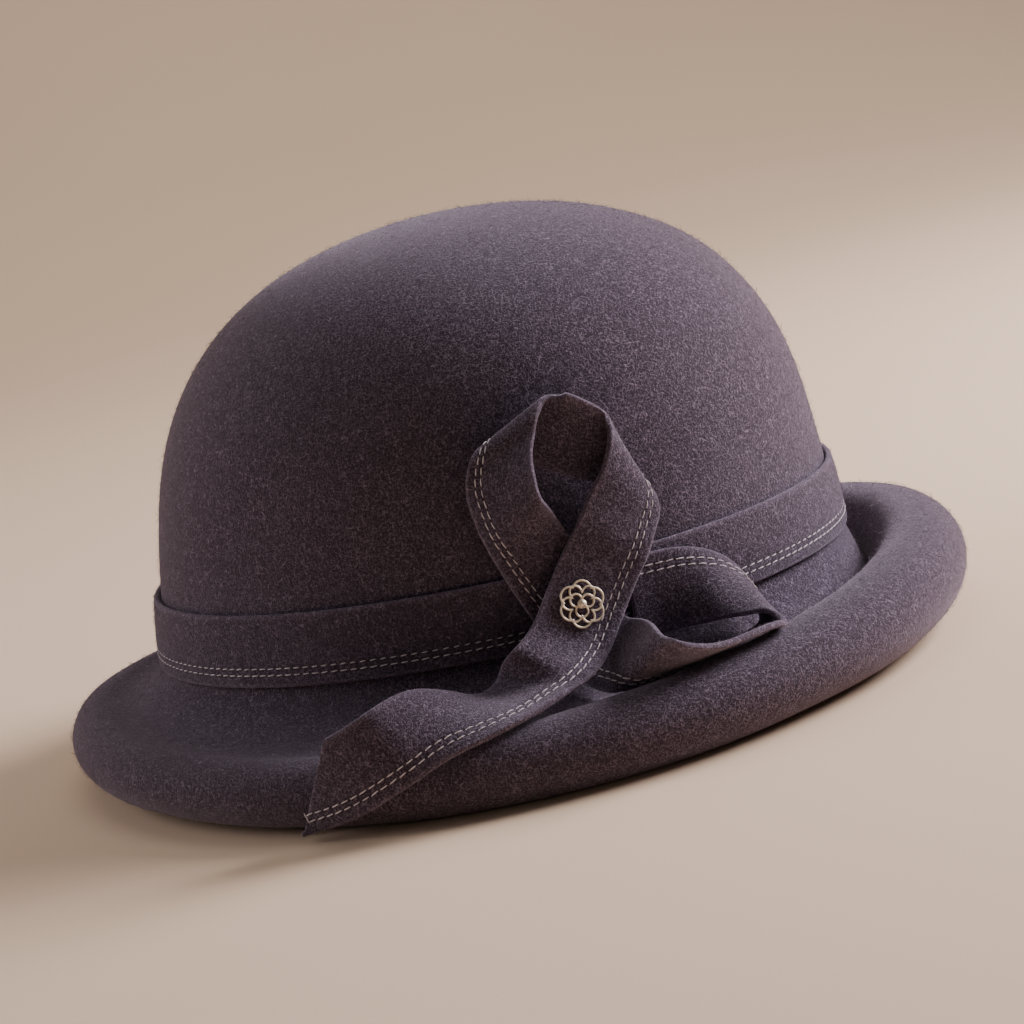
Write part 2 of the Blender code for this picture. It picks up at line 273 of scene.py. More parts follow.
class ShaderBench(NodeBench):
    """A new material's tree, with the nodes that the finishes share."""

    def __init__(self, name: str) -> None:
        """Make an empty material with its output."""
        self.material = bpy.data.materials.new(name)
        self.material.use_nodes = True
        super().__init__(self.material.node_tree)
        self.tree.nodes.clear()
        self.place = self.node("ShaderNodeTexCoord").outputs["Object"]

    def noise(self, scale: float, detail: float = 2.0, roughness: float = 0.5,
              vector: bpy.types.NodeSocket | None = None) -> bpy.types.Node:
        """Noise texture in features a metre, on object coordinates unless another vector is given."""
        return self.node("ShaderNodeTexNoise", None, {
            "Vector": vector or self.place, "Scale": scale, "Detail": detail, "Roughness": roughness,
        })

    def level(self, scale: float, detail: float = 2.0, roughness: float = 0.5,
              vector: bpy.types.NodeSocket | None = None) -> Signal:
        """The same noise as a number."""
        return Signal(self, self.noise(scale, detail, roughness, vector).outputs["Fac"])

    def blend(self, factor: Any, first: Any, second: Any) -> bpy.types.NodeSocket:
        """Colour between two colours.

        Args:
            factor: signal or number, 0 for the first colour.
            first: colour or socket.
            second: colour or socket.

        Returns:
            The mixed colour's socket.
        """
        def filled(colour: Any) -> Any:
            return (*colour, 1.0) if isinstance(colour, tuple) else colour

        made = self.node("ShaderNodeMix", {"data_type": "RGBA"}, {
            "Factor_Float": factor, "A_Color": filled(first), "B_Color": filled(second),
        })
        return self.find(made.outputs, "Result_Color")

    def shifted(self, amount: float, colour: bpy.types.NodeSocket) -> bpy.types.NodeSocket:
        """Object coordinates moved by a colour noise, for patterns that wander."""
        def step(operation: str, sockets: dict[Any, Any]) -> bpy.types.NodeSocket:
            return self.node("ShaderNodeVectorMath", {"operation": operation}, sockets).outputs[0]

        centred = step("SUBTRACT", {0: colour, 1: (0.5, 0.5, 0.5)})
        return step("ADD", {0: self.place, 1: step("SCALE", {0: centred, "Scale": amount})})

    def attribute(self, name: str) -> Signal:
        """Number stored on the mesh."""
        return self.signal("ShaderNodeAttribute", {"attribute_name": name}, {}, "Fac")

    def bump(self, height: Signal, distance: float, strength: float) -> bpy.types.NodeSocket:
        """Bumped normal from a height."""
        sockets = {"Height": height, "Distance": distance, "Strength": strength}
        return self.node("ShaderNodeBump", None, sockets).outputs[0]

    def surface(self, sockets: dict[str, Any]) -> bpy.types.Material:
        """End the tree in a Principled shader.

        Args:
            sockets: values or links of the shader's sockets.

        Returns:
            The finished material.
        """
        shader = self.node("ShaderNodeBsdfPrincipled", None, sockets)
        self.node("ShaderNodeOutputMaterial", None, {"Surface": shader.outputs[0]})
        return self.material


@dataclass(frozen=True)
class FeltFinish:
    """Wool felt: dark ground, short matted strands every way, cloudy tone, a painted highlight on cut edges
    and painted shade along the stitch rows.
    """

    name: str
    ground: Colour
    cloud: Colour
    strand: Colour
    strand_share: float = 0.95
    strand_pitch: float = 0.00085
    strand_length: float = 0.0034
    relief: float = 0.00020
    lays: tuple[tuple[float, float, float], ...] = (
        (0.0, 25.0, 10.0), (0.0, -50.0, 70.0), (35.0, 80.0, 20.0), (60.0, 15.0, 125.0),
    )

    def strands(self, bench: ShaderBench) -> Signal:
        """Thin curled strands that lie in several directions over each other."""
        wander = bench.noise(420.0, 1.0).outputs["Color"]
        moved = bench.shifted(0.0014, wander)
        over = None
        for turn in self.lays:
            turned = bench.node("ShaderNodeMapping", {"vector_type": "TEXTURE"}, {
                "Vector": moved, "Rotation": tuple(math.radians(angle) for angle in turn),
                "Scale": (self.strand_length, self.strand_pitch, self.strand_pitch),
            }).outputs[0]
            level = bench.level(1.0, 0.0, vector=turned)
            lay = (1.0 - (level - 0.5).math("ABSOLUTE") * 30.0).within()
            over = lay if over is None else over.math("MAXIMUM", lay)
        return over

    def material(self) -> bpy.types.Material:
        """Material of the felt's surface."""
        bench = ShaderBench(self.name)
        breaks = bench.level(1700.0, 1.0)
        grain = bench.level(2300.0, 2.0, 0.6)
        strands = (self.strands(bench) * (breaks * 3.0 - 0.85).within(0.0, 1.0)).within()
        tone = bench.level(26.0, 4.0, 0.6)
        # rim marks the cut edges, which get a painted highlight
        rim = bench.attribute("rim")
        # seam marks the grooves of the stitch rows, which get painted shade
        seam = bench.attribute("seam")
        base = bench.blend((tone * 2.4 - 0.7).within(), self.ground, self.cloud)
        # painted highlight: the strands' lighter colour is raised on cut edges by rim
        share = (strands * self.strand_share + (grain - 0.5) * 0.35 + rim * 0.16).within()
        colour = bench.blend(share, base, self.strand)
        # painted shade: colour darkened towards a dim ground in the stitch rows' grooves
        shaded = bench.blend((seam * 0.45).within(), colour, tuple(0.45 * part for part in self.ground))
        height = strands * 0.75 + grain * 0.45
        return bench.surface({
            "Base Color": shaded,
            "Roughness": (0.98 - strands * 0.10).within(),
            "Normal": bench.bump(height, self.relief, 0.75),
            "Specular IOR Level": 0.18,
            "Sheen Weight": 0.40,
            "Sheen Roughness": 0.45,
            "Sheen Tint": (0.78, 0.68, 0.80, 1.0),
        })


@dataclass(frozen=True)
class PileFinish:
    """Loose wool fibres that stand off the felt."""

    name: str
    shade: Colour
    bright: Colour

    def material(self) -> bpy.types.Material:
        """Material of the fibres."""
        bench = ShaderBench(self.name)
        tint = bench.level(700.0, 1.0)
        return bench.surface({
            "Base Color": bench.blend((tint * 2.2 - 0.6).within(), self.shade, self.bright),
            "Roughness": 0.8,
            "Specular IOR Level": 0.25,
        })


@dataclass(frozen=True)
class ThreadFinish:
    """Spun sewing thread, its tone varied by noise."""

    name: str
    light: Colour
    dark: Colour
    ply_scale: float = 2600.0

    def material(self) -> bpy.types.Material:
        """Material of the thread."""
        bench = ShaderBench(self.name)
        ply = bench.level(self.ply_scale, 2.0)
        wear = bench.level(90.0, 2.0)
        mix = ((ply - 0.5) * 1.6 + wear).within()
        return bench.surface({
            "Base Color": bench.blend(mix, self.dark, self.light),
            "Roughness": (0.62 - ply * 0.2).within(),
            "Normal": bench.bump(ply, 0.0001, 0.6),
            "Sheen Weight": 0.25,
            "Sheen Tint": (0.9, 0.85, 0.92, 1.0),
        })


@dataclass(frozen=True)
class GoldFinish:
    """Pale gold plate, softly brushed, with a faint tarnish in places."""

    name: str
    plate: Colour
    tarnish: Colour

    def material(self) -> bpy.types.Material:
        """Material of the pin."""
        bench = ShaderBench(self.name)
        stain = bench.level(420.0, 4.0, 0.6)
        brush = bench.level(3200.0, 2.0)
        return bench.surface({
            "Base Color": bench.blend((stain * 2.6 - 1.1).within(), self.plate, self.tarnish),
            "Metallic": 0.66,
            "Roughness": (stain * 0.20 + 0.28 + brush * 0.06).within(),
            "Normal": bench.bump(brush, 0.00003, 0.5),
        })


@dataclass(frozen=True)
class FloorFinish:
    """Plain pale paper under and behind the hat."""

    name: str
    near: Colour
    far: Colour

    def material(self) -> bpy.types.Material:
        """Material of the sweep."""
        bench = ShaderBench(self.name)
        tone = bench.level(3.0, 2.0)
        grit = bench.level(900.0, 2.0)
        return bench.surface({
            "Base Color": bench.blend((tone * 2.0 - 0.5).within(), self.near, self.far),
            "Roughness": 0.9,
            "Normal": bench.bump(grit, 0.0001, 0.25),
            "Specular IOR Level": 0.2,
        })


@dataclass(frozen=True)
class BrimSection:
    """Section of the brim at one side of the hat, as shares of the roll's radius and of the brim's lift."""

    roll: float
    lift: float
    shoulder: float
    drop: float
    rise: float
    bulge: float


@dataclass(frozen=True)
class HatForm:
    """The felt body's outside as a surface, by angle round the hat and place along its section."""

    half_length: float = 0.1012
    half_width: float = 0.085
    height: float = 0.111
    forward: float = 0.004
    lean: float = 0.0053
    taper: float = 0.122
    fullness: float = 3.95
    band_foot: float = 0.0295
    brim_front: float = 0.139
    brim_back: float = 0.1284
    brim_right: float = 0.1267
    brim_left: float = 0.1158
    roll_radius: float = 0.010
    brim_lift: float = 0.004
    unit_width: float = 0.0215
    bow_place: float = math.radians(-82.0)
    shift: tuple[float, float, float] = (-0.005296, 0.005536, 0.0)
    shoulder_place: float = -0.7
    roll_top: float = -1.0
    roll_side: float = -2.0
    slow_waver: float = 0.00035
    quick_waver: float = 0.00016
    sections: tuple[BrimSection, BrimSection, BrimSection] = (
        BrimSection(1.31, 0.85, 158.0, 0.90, 1.0, 0.45),
        BrimSection(0.99, -0.15, 120.0, 0.75, 0.8, 0.15),
        BrimSection(0.87, 1.10, 108.0, 0.90, 1.1, 0.30),
    )

    def mix(self, column: str, theta: np.ndarray) -> np.ndarray:
        """Value of one column of the sections, smooth through front, side and back."""
        front, side, back = (getattr(section, column) for section in self.sections)
        level = (front + back + 2.0 * side) / 4.0
        first = (front - back) / 2.0
        second = (front + back - 2.0 * side) / 4.0
        return level + first * np.cos(theta) + second * np.cos(2.0 * theta)

    def crown(self, theta: np.ndarray, rise: np.ndarray) -> np.ndarray:
        """Points of the crown; rise is 0 at the band's foot and 1 at the top."""
        theta, rise = np.broadcast_arrays(theta, rise)
        full = np.sqrt(np.clip(1.0 - np.clip(rise, 0.0, 1.0) ** self.fullness, 0.0, None))
        share = (1.0 - self.taper * rise) * full
        return np.stack([
            self.forward + self.lean * rise + self.half_length * share * np.cos(theta),
            self.half_width * share * np.sin(theta),
            self.band_foot + self.height * rise,
        ], axis=-1)

    def roll_frame(self, theta: np.ndarray) -> tuple[np.ndarray, np.ndarray, np.ndarray]:
        """Centre of the brim's roll, direction out of the hat, and radius."""
        length = np.where(np.cos(theta) > 0.0, self.brim_front, self.brim_back)
        width = np.where(np.sin(theta) > 0.0, self.brim_left, self.brim_right)
        flat = np.zeros_like(np.cos(theta))
        rim = np.stack([length * np.cos(theta), width * np.sin(theta), flat], axis=-1)
        out = unit(np.stack([np.cos(theta) / length, np.sin(theta) / width, flat], axis=-1))
        radius = self.roll_radius * self.mix("roll", theta)
        centre = rim - radius[..., None] * out
        centre[..., 2] = self.brim_lift * self.mix("lift", theta) + radius
        return centre, out, radius

    def roll(self, theta: np.ndarray, degrees: np.ndarray) -> np.ndarray:
        """Points of the roll: 0 degrees is its outer side and 90 its top."""
        centre, out, radius = self.roll_frame(theta)
        angle = np.radians(degrees)
        return centre + radius[..., None] * (np.cos(angle)[..., None] * out + np.sin(angle)[..., None] * UP)

    def flare(self, theta: np.ndarray, share: np.ndarray) -> np.ndarray:
        """Points of the flare between the crown's foot and the roll's shoulder."""
        out, radius = self.roll_frame(theta)[1:]
        shoulder = self.mix("shoulder", theta)
        angle = np.radians(shoulder)[..., None]
        heading = np.sin(angle) * out - np.cos(angle) * UP
        start = self.crown(theta, np.zeros_like(theta))
        end = self.roll(theta, shoulder)
        bulge = self.mix("bulge", theta)[..., None]
        drop = self.mix("drop", theta)[..., None]
        below = self.roll_radius * (bulge * out - drop * UP)
        before = (radius * self.mix("rise", theta))[..., None] * heading
        share = share[..., None]
        rest = 1.0 - share
        return (rest ** 3 * start + 3.0 * rest ** 2 * share * (start + below)
                + 3.0 * rest * share ** 2 * (end - before) + share ** 3 * end)

    def point(self, theta: np.ndarray, climb: np.ndarray) -> np.ndarray:
        """Points of the outside, not yet moved to the row's frame."""
        theta, climb = np.broadcast_arrays(np.asarray(theta, float), np.asarray(climb, float))
        crown = self.crown(theta, np.minimum(1.0, climb * self.unit_width / self.height))
        flare = self.flare(theta, climb / self.shoulder_place)
        shoulder = self.mix("shoulder", theta)
        share = (climb - self.shoulder_place) / (self.roll_top - self.shoulder_place)
        bend = self.roll(theta, shoulder + (90.0 - shoulder) * share)
        roll = self.roll(theta, 90.0 * (climb - self.roll_side))
        lower = np.where((climb >= self.roll_top)[..., None], bend, roll)
        middle = np.where((climb >= self.shoulder_place)[..., None], flare, lower)
        return np.where((climb >= 0.0)[..., None], crown, middle)

    def normal(self, theta: np.ndarray, climb: np.ndarray, step: float) -> np.ndarray:
        """Direction out of the outside, over a small step along the section."""
        theta, climb = np.broadcast_arrays(np.asarray(theta, float), np.asarray(climb, float))
        top = np.minimum(climb + step, self.height / self.unit_width * 0.9999)
        along = self.point(theta + 0.002, climb) - self.point(theta - 0.002, climb)
        side = self.point(theta, top) - self.point(theta, climb - step)
        return unit(np.cross(along, side))

    def even_places(self, start: float, end: float, rows: int) -> np.ndarray:
        """Places along the section from start to end, evenly spaced on the side of the bow."""
        fine = np.linspace(start, end, 2001)
        line = self.point(np.full_like(fine, self.bow_place), fine)
        lengths = np.concatenate([[0.0], np.cumsum(np.linalg.norm(np.diff(line, axis=0), axis=1))])
        return np.interp(np.linspace(0.0, lengths[-1], rows + 1), lengths, fine)

    def settle(self, points: np.ndarray) -> np.ndarray:
        """Move points of this surface into the row's frame."""
        return points + np.array(self.shift)

    def waver(self, points: np.ndarray) -> np.ndarray:
        """Soft unevenness of hand-blocked felt, in metres along the normal."""
        x, y, z = points[..., 0], points[..., 1], points[..., 2]
        slow = np.sin(41.0 * x + 17.0 * y + 0.6) * np.sin(37.0 * y - 29.0 * z + 1.9)
        quick = np.sin(83.0 * y + 61.0 * z + 0.4) * np.sin(97.0 * x - 53.0 * z)
        return self.slow_waver * slow + self.quick_waver * quick


@dataclass
class GridMesh:
    """A closed skin on a grid of points, with its map for baking and its numbers for the finishes."""

    name: str
    points: np.ndarray
    wrap_rows: bool = False
    tips: tuple[np.ndarray, np.ndarray] | None = None
    caps: bool = False
    numbers: dict[str, np.ndarray] = field(default_factory=dict)

    def quads(self) -> np.ndarray:
        """Corners of the grid's faces."""
        rows, columns = self.points.shape[:2]
        index = np.arange(rows * columns).reshape(rows, columns)
        low = index if self.wrap_rows else index[:-1]
        high = np.roll(index, -1, axis=0) if self.wrap_rows else index[1:]
        corners = [low, np.roll(low, -1, axis=1), np.roll(high, -1, axis=1), high]
        return np.stack(corners, axis=-1).reshape(-1, 4)

    def build(self, material: bpy.types.Material) -> bpy.types.Object:
        """Make the object with its faces pointing outwards.

        Args:
            material: finish of the whole skin.

        Returns:
            The object, linked to the scene and at the origin.
        """
        rows, columns = self.points.shape[:2]
        corners = self.points.reshape(-1, 3)
        faces = [tuple(face) for face in self.quads().tolist()]
        if self.tips is not None:
            first, last = len(corners), len(corners) + 1
            corners = np.vstack([corners, self.tips[0], self.tips[1]])
            end = (rows - 1) * columns
            for column in range(columns):
                after = (column + 1) % columns
                faces.append((first, after, column))
                faces.append((last, end + column, end + after))
        if self.caps:
            faces.append(tuple(range(columns))[::-1])
            faces.append(tuple(range((rows - 1) * columns, rows * columns)))
        if self.volume(corners, faces) < 0.0:
            faces = [face[::-1] for face in faces]
        mesh = new_mesh(self.name, corners.tolist(), faces)
        mesh.shade_smooth()
        mesh.materials.append(material)
        self.lay_map(mesh, rows, columns)
        for name, values in self.numbers.items():
            filled = np.zeros(len(corners), np.float32)
            filled[:rows * columns] = np.broadcast_to(values, (rows, columns)).reshape(-1)
            layer = mesh.attributes.new(name, "FLOAT", "POINT")
            layer.data.foreach_set("value", filled)
        return linked(self.name, mesh)

    @staticmethod
    def volume(corners: np.ndarray, faces: Sequence[tuple[int, ...]]) -> float:
        """Signed volume inside the faces."""
        total = 0.0
        quads = np.array([face for face in faces if len(face) == 4])
        for first, second, third in ((0, 1, 2), (0, 2, 3)):
            a, b, c = corners[quads[:, first]], corners[quads[:, second]], corners[quads[:, third]]
            total += float(np.einsum("ij,ij->i", a, np.cross(b, c)).sum()) / 6.0
        return total

    def lay_map(self, mesh: bpy.types.Mesh, rows: int, columns: int) -> None:
        """Lay the grid out flat as the map for baking.

        Args:
            mesh: the finished mesh.
            rows: rows of the grid.
            columns: columns of the grid.
        """
        count = rows * columns
        wide = columns + 1.0
        tall = rows + 1.0 if self.wrap_rows else float(rows)
        vertex = whole_numbers(mesh.loops, "vertex_index")
        totals = whole_numbers(mesh.polygons, "loop_total")
        owner = np.repeat(np.arange(len(totals)), totals)
        tip_row = np.where(vertex == count, 0, rows - 1)
        row = np.where(vertex < count, vertex // columns, tip_row).astype(float)
        column = (vertex % columns).astype(float)
        tip = vertex >= count
        lowest = np.full(len(totals), 1e9)
        highest = np.full(len(totals), -1e9)
        np.minimum.at(lowest, owner[~tip], column[~tip])
        np.maximum.at(highest, owner[~tip], column[~tip])
        wraps = (highest - lowest > columns / 2.0)[owner] & (totals[owner] <= 4)
        column = np.where(wraps & (column < columns / 2.0) & ~tip, column + columns, column)
        middle = np.where(highest - lowest > columns / 2.0, columns - 0.5, (lowest + highest) / 2.0)[owner]
        column = np.where(tip, middle, column)
        row = np.where(tip & (vertex == count), -0.5, np.where(tip, rows - 0.5, row))
        top = np.full(len(totals), -1e9)
        low = np.full(len(totals), 1e9)
        np.maximum.at(top, owner, row)
        np.minimum.at(low, owner, row)
        turned = ((top - low) > rows / 2.0)[owner] & (totals[owner] == 4)
        row = np.where(turned & (row < rows / 2.0), row + rows, row)
        flat = np.stack([0.01 + 0.98 * column / wide, 0.01 + 0.97 * (row + 0.5) / (tall + 0.5)], axis=-1)
        flat[totals[owner] > 4] = 0.995
        layer = mesh.uv_layers.new(name=BAKE_MAP)
        layer.data.foreach_set("uv", flat.astype(np.float32).ravel())


class Carrier:
    """Runs one Geometry Nodes tree on an object and keeps the result as a plain mesh."""

    SOCKETS = {
        int: "NodeSocketInt", float: "NodeSocketFloat",
        bpy.types.Object: "NodeSocketObject", bpy.types.Material: "NodeSocketMaterial",
    }

    def __init__(self, name: str, sizes: dict[str, Any]) -> None:
        """Start a tree that takes a mesh and gives one back.

        Args:
            name: name of the tree and of the piece that it makes.
            sizes: named inputs and their values, with the seed of everything random in the tree first.
        """
        self.name = name
        self.tree = bpy.data.node_groups.new(name + "_nodes", "GeometryNodeTree")
        self.bench = NodeBench(self.tree)
        self.tree.interface.new_socket("Mesh", in_out="INPUT", socket_type="NodeSocketGeometry")
        self.tree.interface.new_socket("Mesh", in_out="OUTPUT", socket_type="NodeSocketGeometry")
        self.values: dict[str, Any] = {}
        for label, value in sizes.items():
            kind = self.SOCKETS[type(value)]
            made = self.tree.interface.new_socket(label, in_out="INPUT", socket_type=kind)
            self.values[made.identifier] = value

    def set_out(self, points: Any, shape: bpy.types.Node, stand: Any, turn: dict[str, Signal],
                size: Signal) -> bpy.types.NodeSocket:
        """Put the repeated shape on points.

        Args:
            points: where it goes.
            shape: node that gives it.
            stand: rotation that it starts from.
            turn: further turns about its own axes, in radians.
            size: its scale.

        Returns:
            The instances.
        """
        turned = self.bench.node("ShaderNodeCombineXYZ", None, turn)
        euler = self.bench.node("FunctionNodeEulerToRotation", None, {0: turned.outputs[0]})
        rotation = self.bench.node("FunctionNodeRotateRotation", {"rotation_space": "LOCAL"}, {
            "Rotation": stand, "Rotate By": euler.outputs[0],
        })
        placed = self.bench.node("GeometryNodeInstanceOnPoints", None, {
            "Points": points, "Instance": shape.outputs["Geometry"], "Rotation": rotation.outputs[0],
            "Scale": size,
        })
        return placed.outputs[0]

    def close(self, instances: bpy.types.NodeSocket, material: bpy.types.NodeSocket) -> None:
        """End the tree: instances made real, then dressed."""
        real = self.bench.node("GeometryNodeRealizeInstances", None, {0: instances})
        dressed = self.bench.node("GeometryNodeSetMaterial", None, {
            "Geometry": real.outputs[0], "Material": material,
        })
        self.bench.node("NodeGroupOutput", None, {0: dressed.outputs[0]})

    def harvest(self, source: bpy.types.Object, item: bpy.types.Object) -> bpy.types.Object:
        """Evaluate the tree and turn the result into a piece.

        Args:
            source: object that the tree runs on; it is removed.
            item: the repeated shape, whose corners the map for baking needs; it is removed.

        Returns:
            The new piece at the origin.
        """
        modifier = source.modifiers.new(self.name, "NODES")
        modifier.node_group = self.tree
        for identifier, value in self.values.items():
            modifier[identifier] = value
        bpy.context.view_layer.update()
        graph = bpy.context.evaluated_depsgraph_get()
        mesh = bpy.data.meshes.new_from_object(source.evaluated_get(graph))
        mesh.name = self.name
        self.spread_map(mesh, len(item.data.loops))
        for left in (source, item):
            bpy.data.objects.remove(left, do_unlink=True)
        return linked(self.name, mesh)

    @staticmethod
    def spread_map(mesh: bpy.types.Mesh, corners: int) -> None:
        """Give each repeated shape its own cell of the map for baking."""
        layer = mesh.uv_layers[BAKE_MAP]
        flat = np.empty(len(mesh.loops) * 2, np.float32)
        layer.data.foreach_get("uv", flat)
        flat = flat.reshape(-1, 2)
        item = np.arange(len(flat)) // corners
        side = int(math.ceil(math.sqrt(max(1, len(flat) // corners))))
        cell = np.stack([item % side, item // side], axis=-1)
        flat = (cell + 0.08 + 0.84 * flat) / side
        layer.data.foreach_set("uv", flat.astype(np.float32).ravel())


@dataclass
class Pile:
    """Short loose fibres over a felt surface."""

    name: str
    finish: PileFinish
    density: float
    length: float = 0.0019
    width: float = 0.00007
    curl: float = 0.8
    root: float = 0.0001
    lay_low: float = 40.0
    lay_high: float = 82.0
    seed: int = 11
    where: str = "pile"

    def fibre(self) -> bpy.types.Object:
        """One curled, tapered fibre that stands along Z."""
        steps = 4
        points = []
        for step in range(steps + 1):
            bend = self.curl * step / steps
            x = self.length * (1.0 - math.cos(bend)) / self.curl
            z = self.length * math.sin(bend) / self.curl
            if step == steps:
                points.append((x, 0.0, z))
                break
            half = 0.5 * self.width * (1.0 - 0.6 * step / steps)
            points += [(x, -half, z - self.root), (x, half, z - self.root)]
        faces = [(2 * step, 2 * step + 1, 2 * step + 3, 2 * step + 2) for step in range(steps - 1)]
        faces.append((2 * steps - 2, 2 * steps - 1, 2 * steps))
        mesh = new_mesh(self.name + "_fibre", points, faces)
        layer = mesh.uv_layers.new(name=BAKE_MAP)
        for loop in mesh.loops:
            index = loop.vertex_index
            across = 0.5 if index == 2 * steps else float(index % 2)
            layer.data[loop.index].uv = (across, (index // 2) / steps)
        return linked(self.name + "_fibre", mesh)

    def grow(self, surface: bpy.types.Object) -> bpy.types.Object:
        """Scatter the fibres over a surface.

        Args:
            surface: piece whose attribute says where fibres stand.

        Returns:
            The fibres as one piece.
        """
        item = self.fibre()
        carrier = Carrier(self.name, {
            "Seed": self.seed, "Density": self.density, "Lay Low": math.radians(self.lay_low),
            "Lay High": math.radians(self.lay_high), "Fibre": item, "Wool": self.finish.material(),
        })
        bench = carrier.bench
        start = bench.node("NodeGroupInput").outputs
        where = bench.signal("GeometryNodeInputNamedAttribute", {"data_type": "FLOAT"}, {"Name": self.where})
        density = where * Signal(bench, start["Density"])
        spots = bench.node("GeometryNodeDistributePointsOnFaces", {"distribute_method": "RANDOM"}, {
            "Mesh": start["Mesh"], "Density": density, "Seed": start["Seed"],
        })
        shape = bench.node("GeometryNodeObjectInfo", None, {"Object": start["Fibre"], "As Instance": True})
        seed = Signal(bench, start["Seed"])
        turn = {"X": bench.chance(start["Lay Low"], start["Lay High"], seed),
                "Z": bench.chance(0.0, 2.0 * math.pi, seed + 1)}
        placed = carrier.set_out(spots.outputs["Points"], shape, spots.outputs["Rotation"], turn,
                                 bench.chance(0.45, 1.35, seed + 2))
        carrier.close(placed, start["Wool"])
        return carrier.harvest(linked(self.name + "_ground", surface.data.copy()), item)


@dataclass
class StitchRows:
    """Running stitches along lines on a surface."""

    name: str
    finish: ThreadFinish
    pitch: float = 0.0029
    stitch: float = 0.0021
    width: float = 0.00038
    rise: float = 0.00018
    skew: float = 5.0
    seed: int = 5

    def spacing(self, length: float) -> float:
        """Distance between stitches so that a line holds a whole number of them."""
        return length / max(1, math.floor(length / self.pitch))

    def bead(self) -> bpy.types.Object:
        """One stitch: a short arched length of thread along X."""
        rings, sides = 7, 6
        points = []
        for ring in range(rings):
            share = ring / (rings - 1.0)
            along = (share - 0.5) * self.stitch
            swell = math.sin(math.pi * (0.12 + 0.76 * share)) ** 0.45
            lift = self.rise * math.sin(math.pi * share) - 0.35 * self.rise
            for side in range(sides):
                angle = 2.0 * math.pi * side / sides
                radius = 0.5 * self.width * swell
                points.append((along, radius * math.cos(angle), lift + 0.8 * radius * math.sin(angle)))
        faces = [(*face[1:], face[0]) for face in tube_faces(rings, sides)]
        faces += [tuple(range(sides))[::-1], tuple(range((rings - 1) * sides, rings * sides))]
        mesh = new_mesh(self.name + "_bead", points, faces)
        mesh.shade_smooth()
        layer = mesh.uv_layers.new(name=BAKE_MAP)
        for face in mesh.polygons:
            ends = len(face.vertices) > 4
            sides_here = [index % sides for index in face.vertices]
            for loop in face.loop_indices:
                index = mesh.loops[loop].vertex_index
                side = index % sides
                if side == 0 and sides - 1 in sides_here and not ends:
                    side = sides
                angle = 2.0 * math.pi * side / sides
                flat = (0.85 + 0.1 * math.cos(angle), 0.15 + 0.1 * math.sin(angle))
                along = (0.8 * (index // sides) / rings, side / sides)
                layer.data[loop].uv = flat if ends else along
        return linked(self.name + "_bead", mesh)

    def sew(self, lines: Sequence[tuple[np.ndarray, np.ndarray, bool]]) -> bpy.types.Object:
        """Lay stitches along lines.

        Args:
            lines: for each, its points, the directions out of the felt there, and whether it is a ring.

        Returns:
            The stitches as one piece.
        """
        points: list[Any] = []
        stands: list[Any] = []
        edges: list[tuple[int, int]] = []
        for places, outwards, ring in lines:
            first = len(points)
            points += places.tolist()
            stands += outwards.tolist()
            edges += [(first + index, first + index + 1) for index in range(len(places) - 1)]
            if ring:
                edges.append((len(points) - 1, first))
        mesh = new_mesh(self.name + "_lines", points, [], edges)
        layer = mesh.attributes.new("stand", "FLOAT_VECTOR", "POINT")
        layer.data.foreach_set("vector", np.array(stands, np.float32).ravel())
        source = linked(self.name + "_lines", mesh)
        item = self.bead()
        carrier = Carrier(self.name, {
            "Seed": self.seed, "Pitch": self.pitch, "Skew": math.radians(self.skew), "Stitch": item,
            "Thread": self.finish.material(),
        })
        bench = carrier.bench
        start = bench.node("NodeGroupInput").outputs
        curve = bench.node("GeometryNodeMeshToCurve", None, {"Mesh": start["Mesh"]})
        even = bench.node("GeometryNodeResampleCurve", {"mode": "LENGTH"}, {
            "Curve": curve.outputs[0], "Length": start["Pitch"],
        })
        tangent = bench.node("GeometryNodeInputTangent")
        stand = bench.node("GeometryNodeInputNamedAttribute", {"data_type": "FLOAT_VECTOR"}, {
            "Name": "stand",
        })
        along = bench.node("FunctionNodeAlignRotationToVector", {"axis": "X"}, {"Vector": tangent.outputs[0]})
        upright = bench.node("FunctionNodeAlignRotationToVector", {"axis": "Z", "pivot_axis": "X"}, {
            "Rotation": along.outputs[0], "Vector": stand.outputs[0],
        })
        seed = Signal(bench, start["Seed"])
        turn = {"Z": bench.chance(-0.06, 0.06, seed) + Signal(bench, start["Skew"])}
        shape = bench.node("GeometryNodeObjectInfo", None, {"Object": start["Stitch"], "As Instance": True})
        placed = carrier.set_out(even.outputs[0], shape, upright.outputs[0], turn,
                                 bench.chance(0.92, 1.06, seed + 1))
        carrier.close(placed, start["Thread"])
        return carrier.harvest(source, item)


@dataclass(frozen=True)
class Seam:
    """Two rows of stitches that pull a strip of felt in."""

    insets: tuple[float, float] = (0.0034, 0.0052)
    depth: float = 0.00022
    spread: float = 0.00050

    def pull(self, inset: np.ndarray) -> np.ndarray:
        """Share of the seam's depth at a distance from the stitched edge, 0 away from both rows."""
        return sum(np.exp(-((inset - row) / self.spread) ** 2) for row in self.insets)


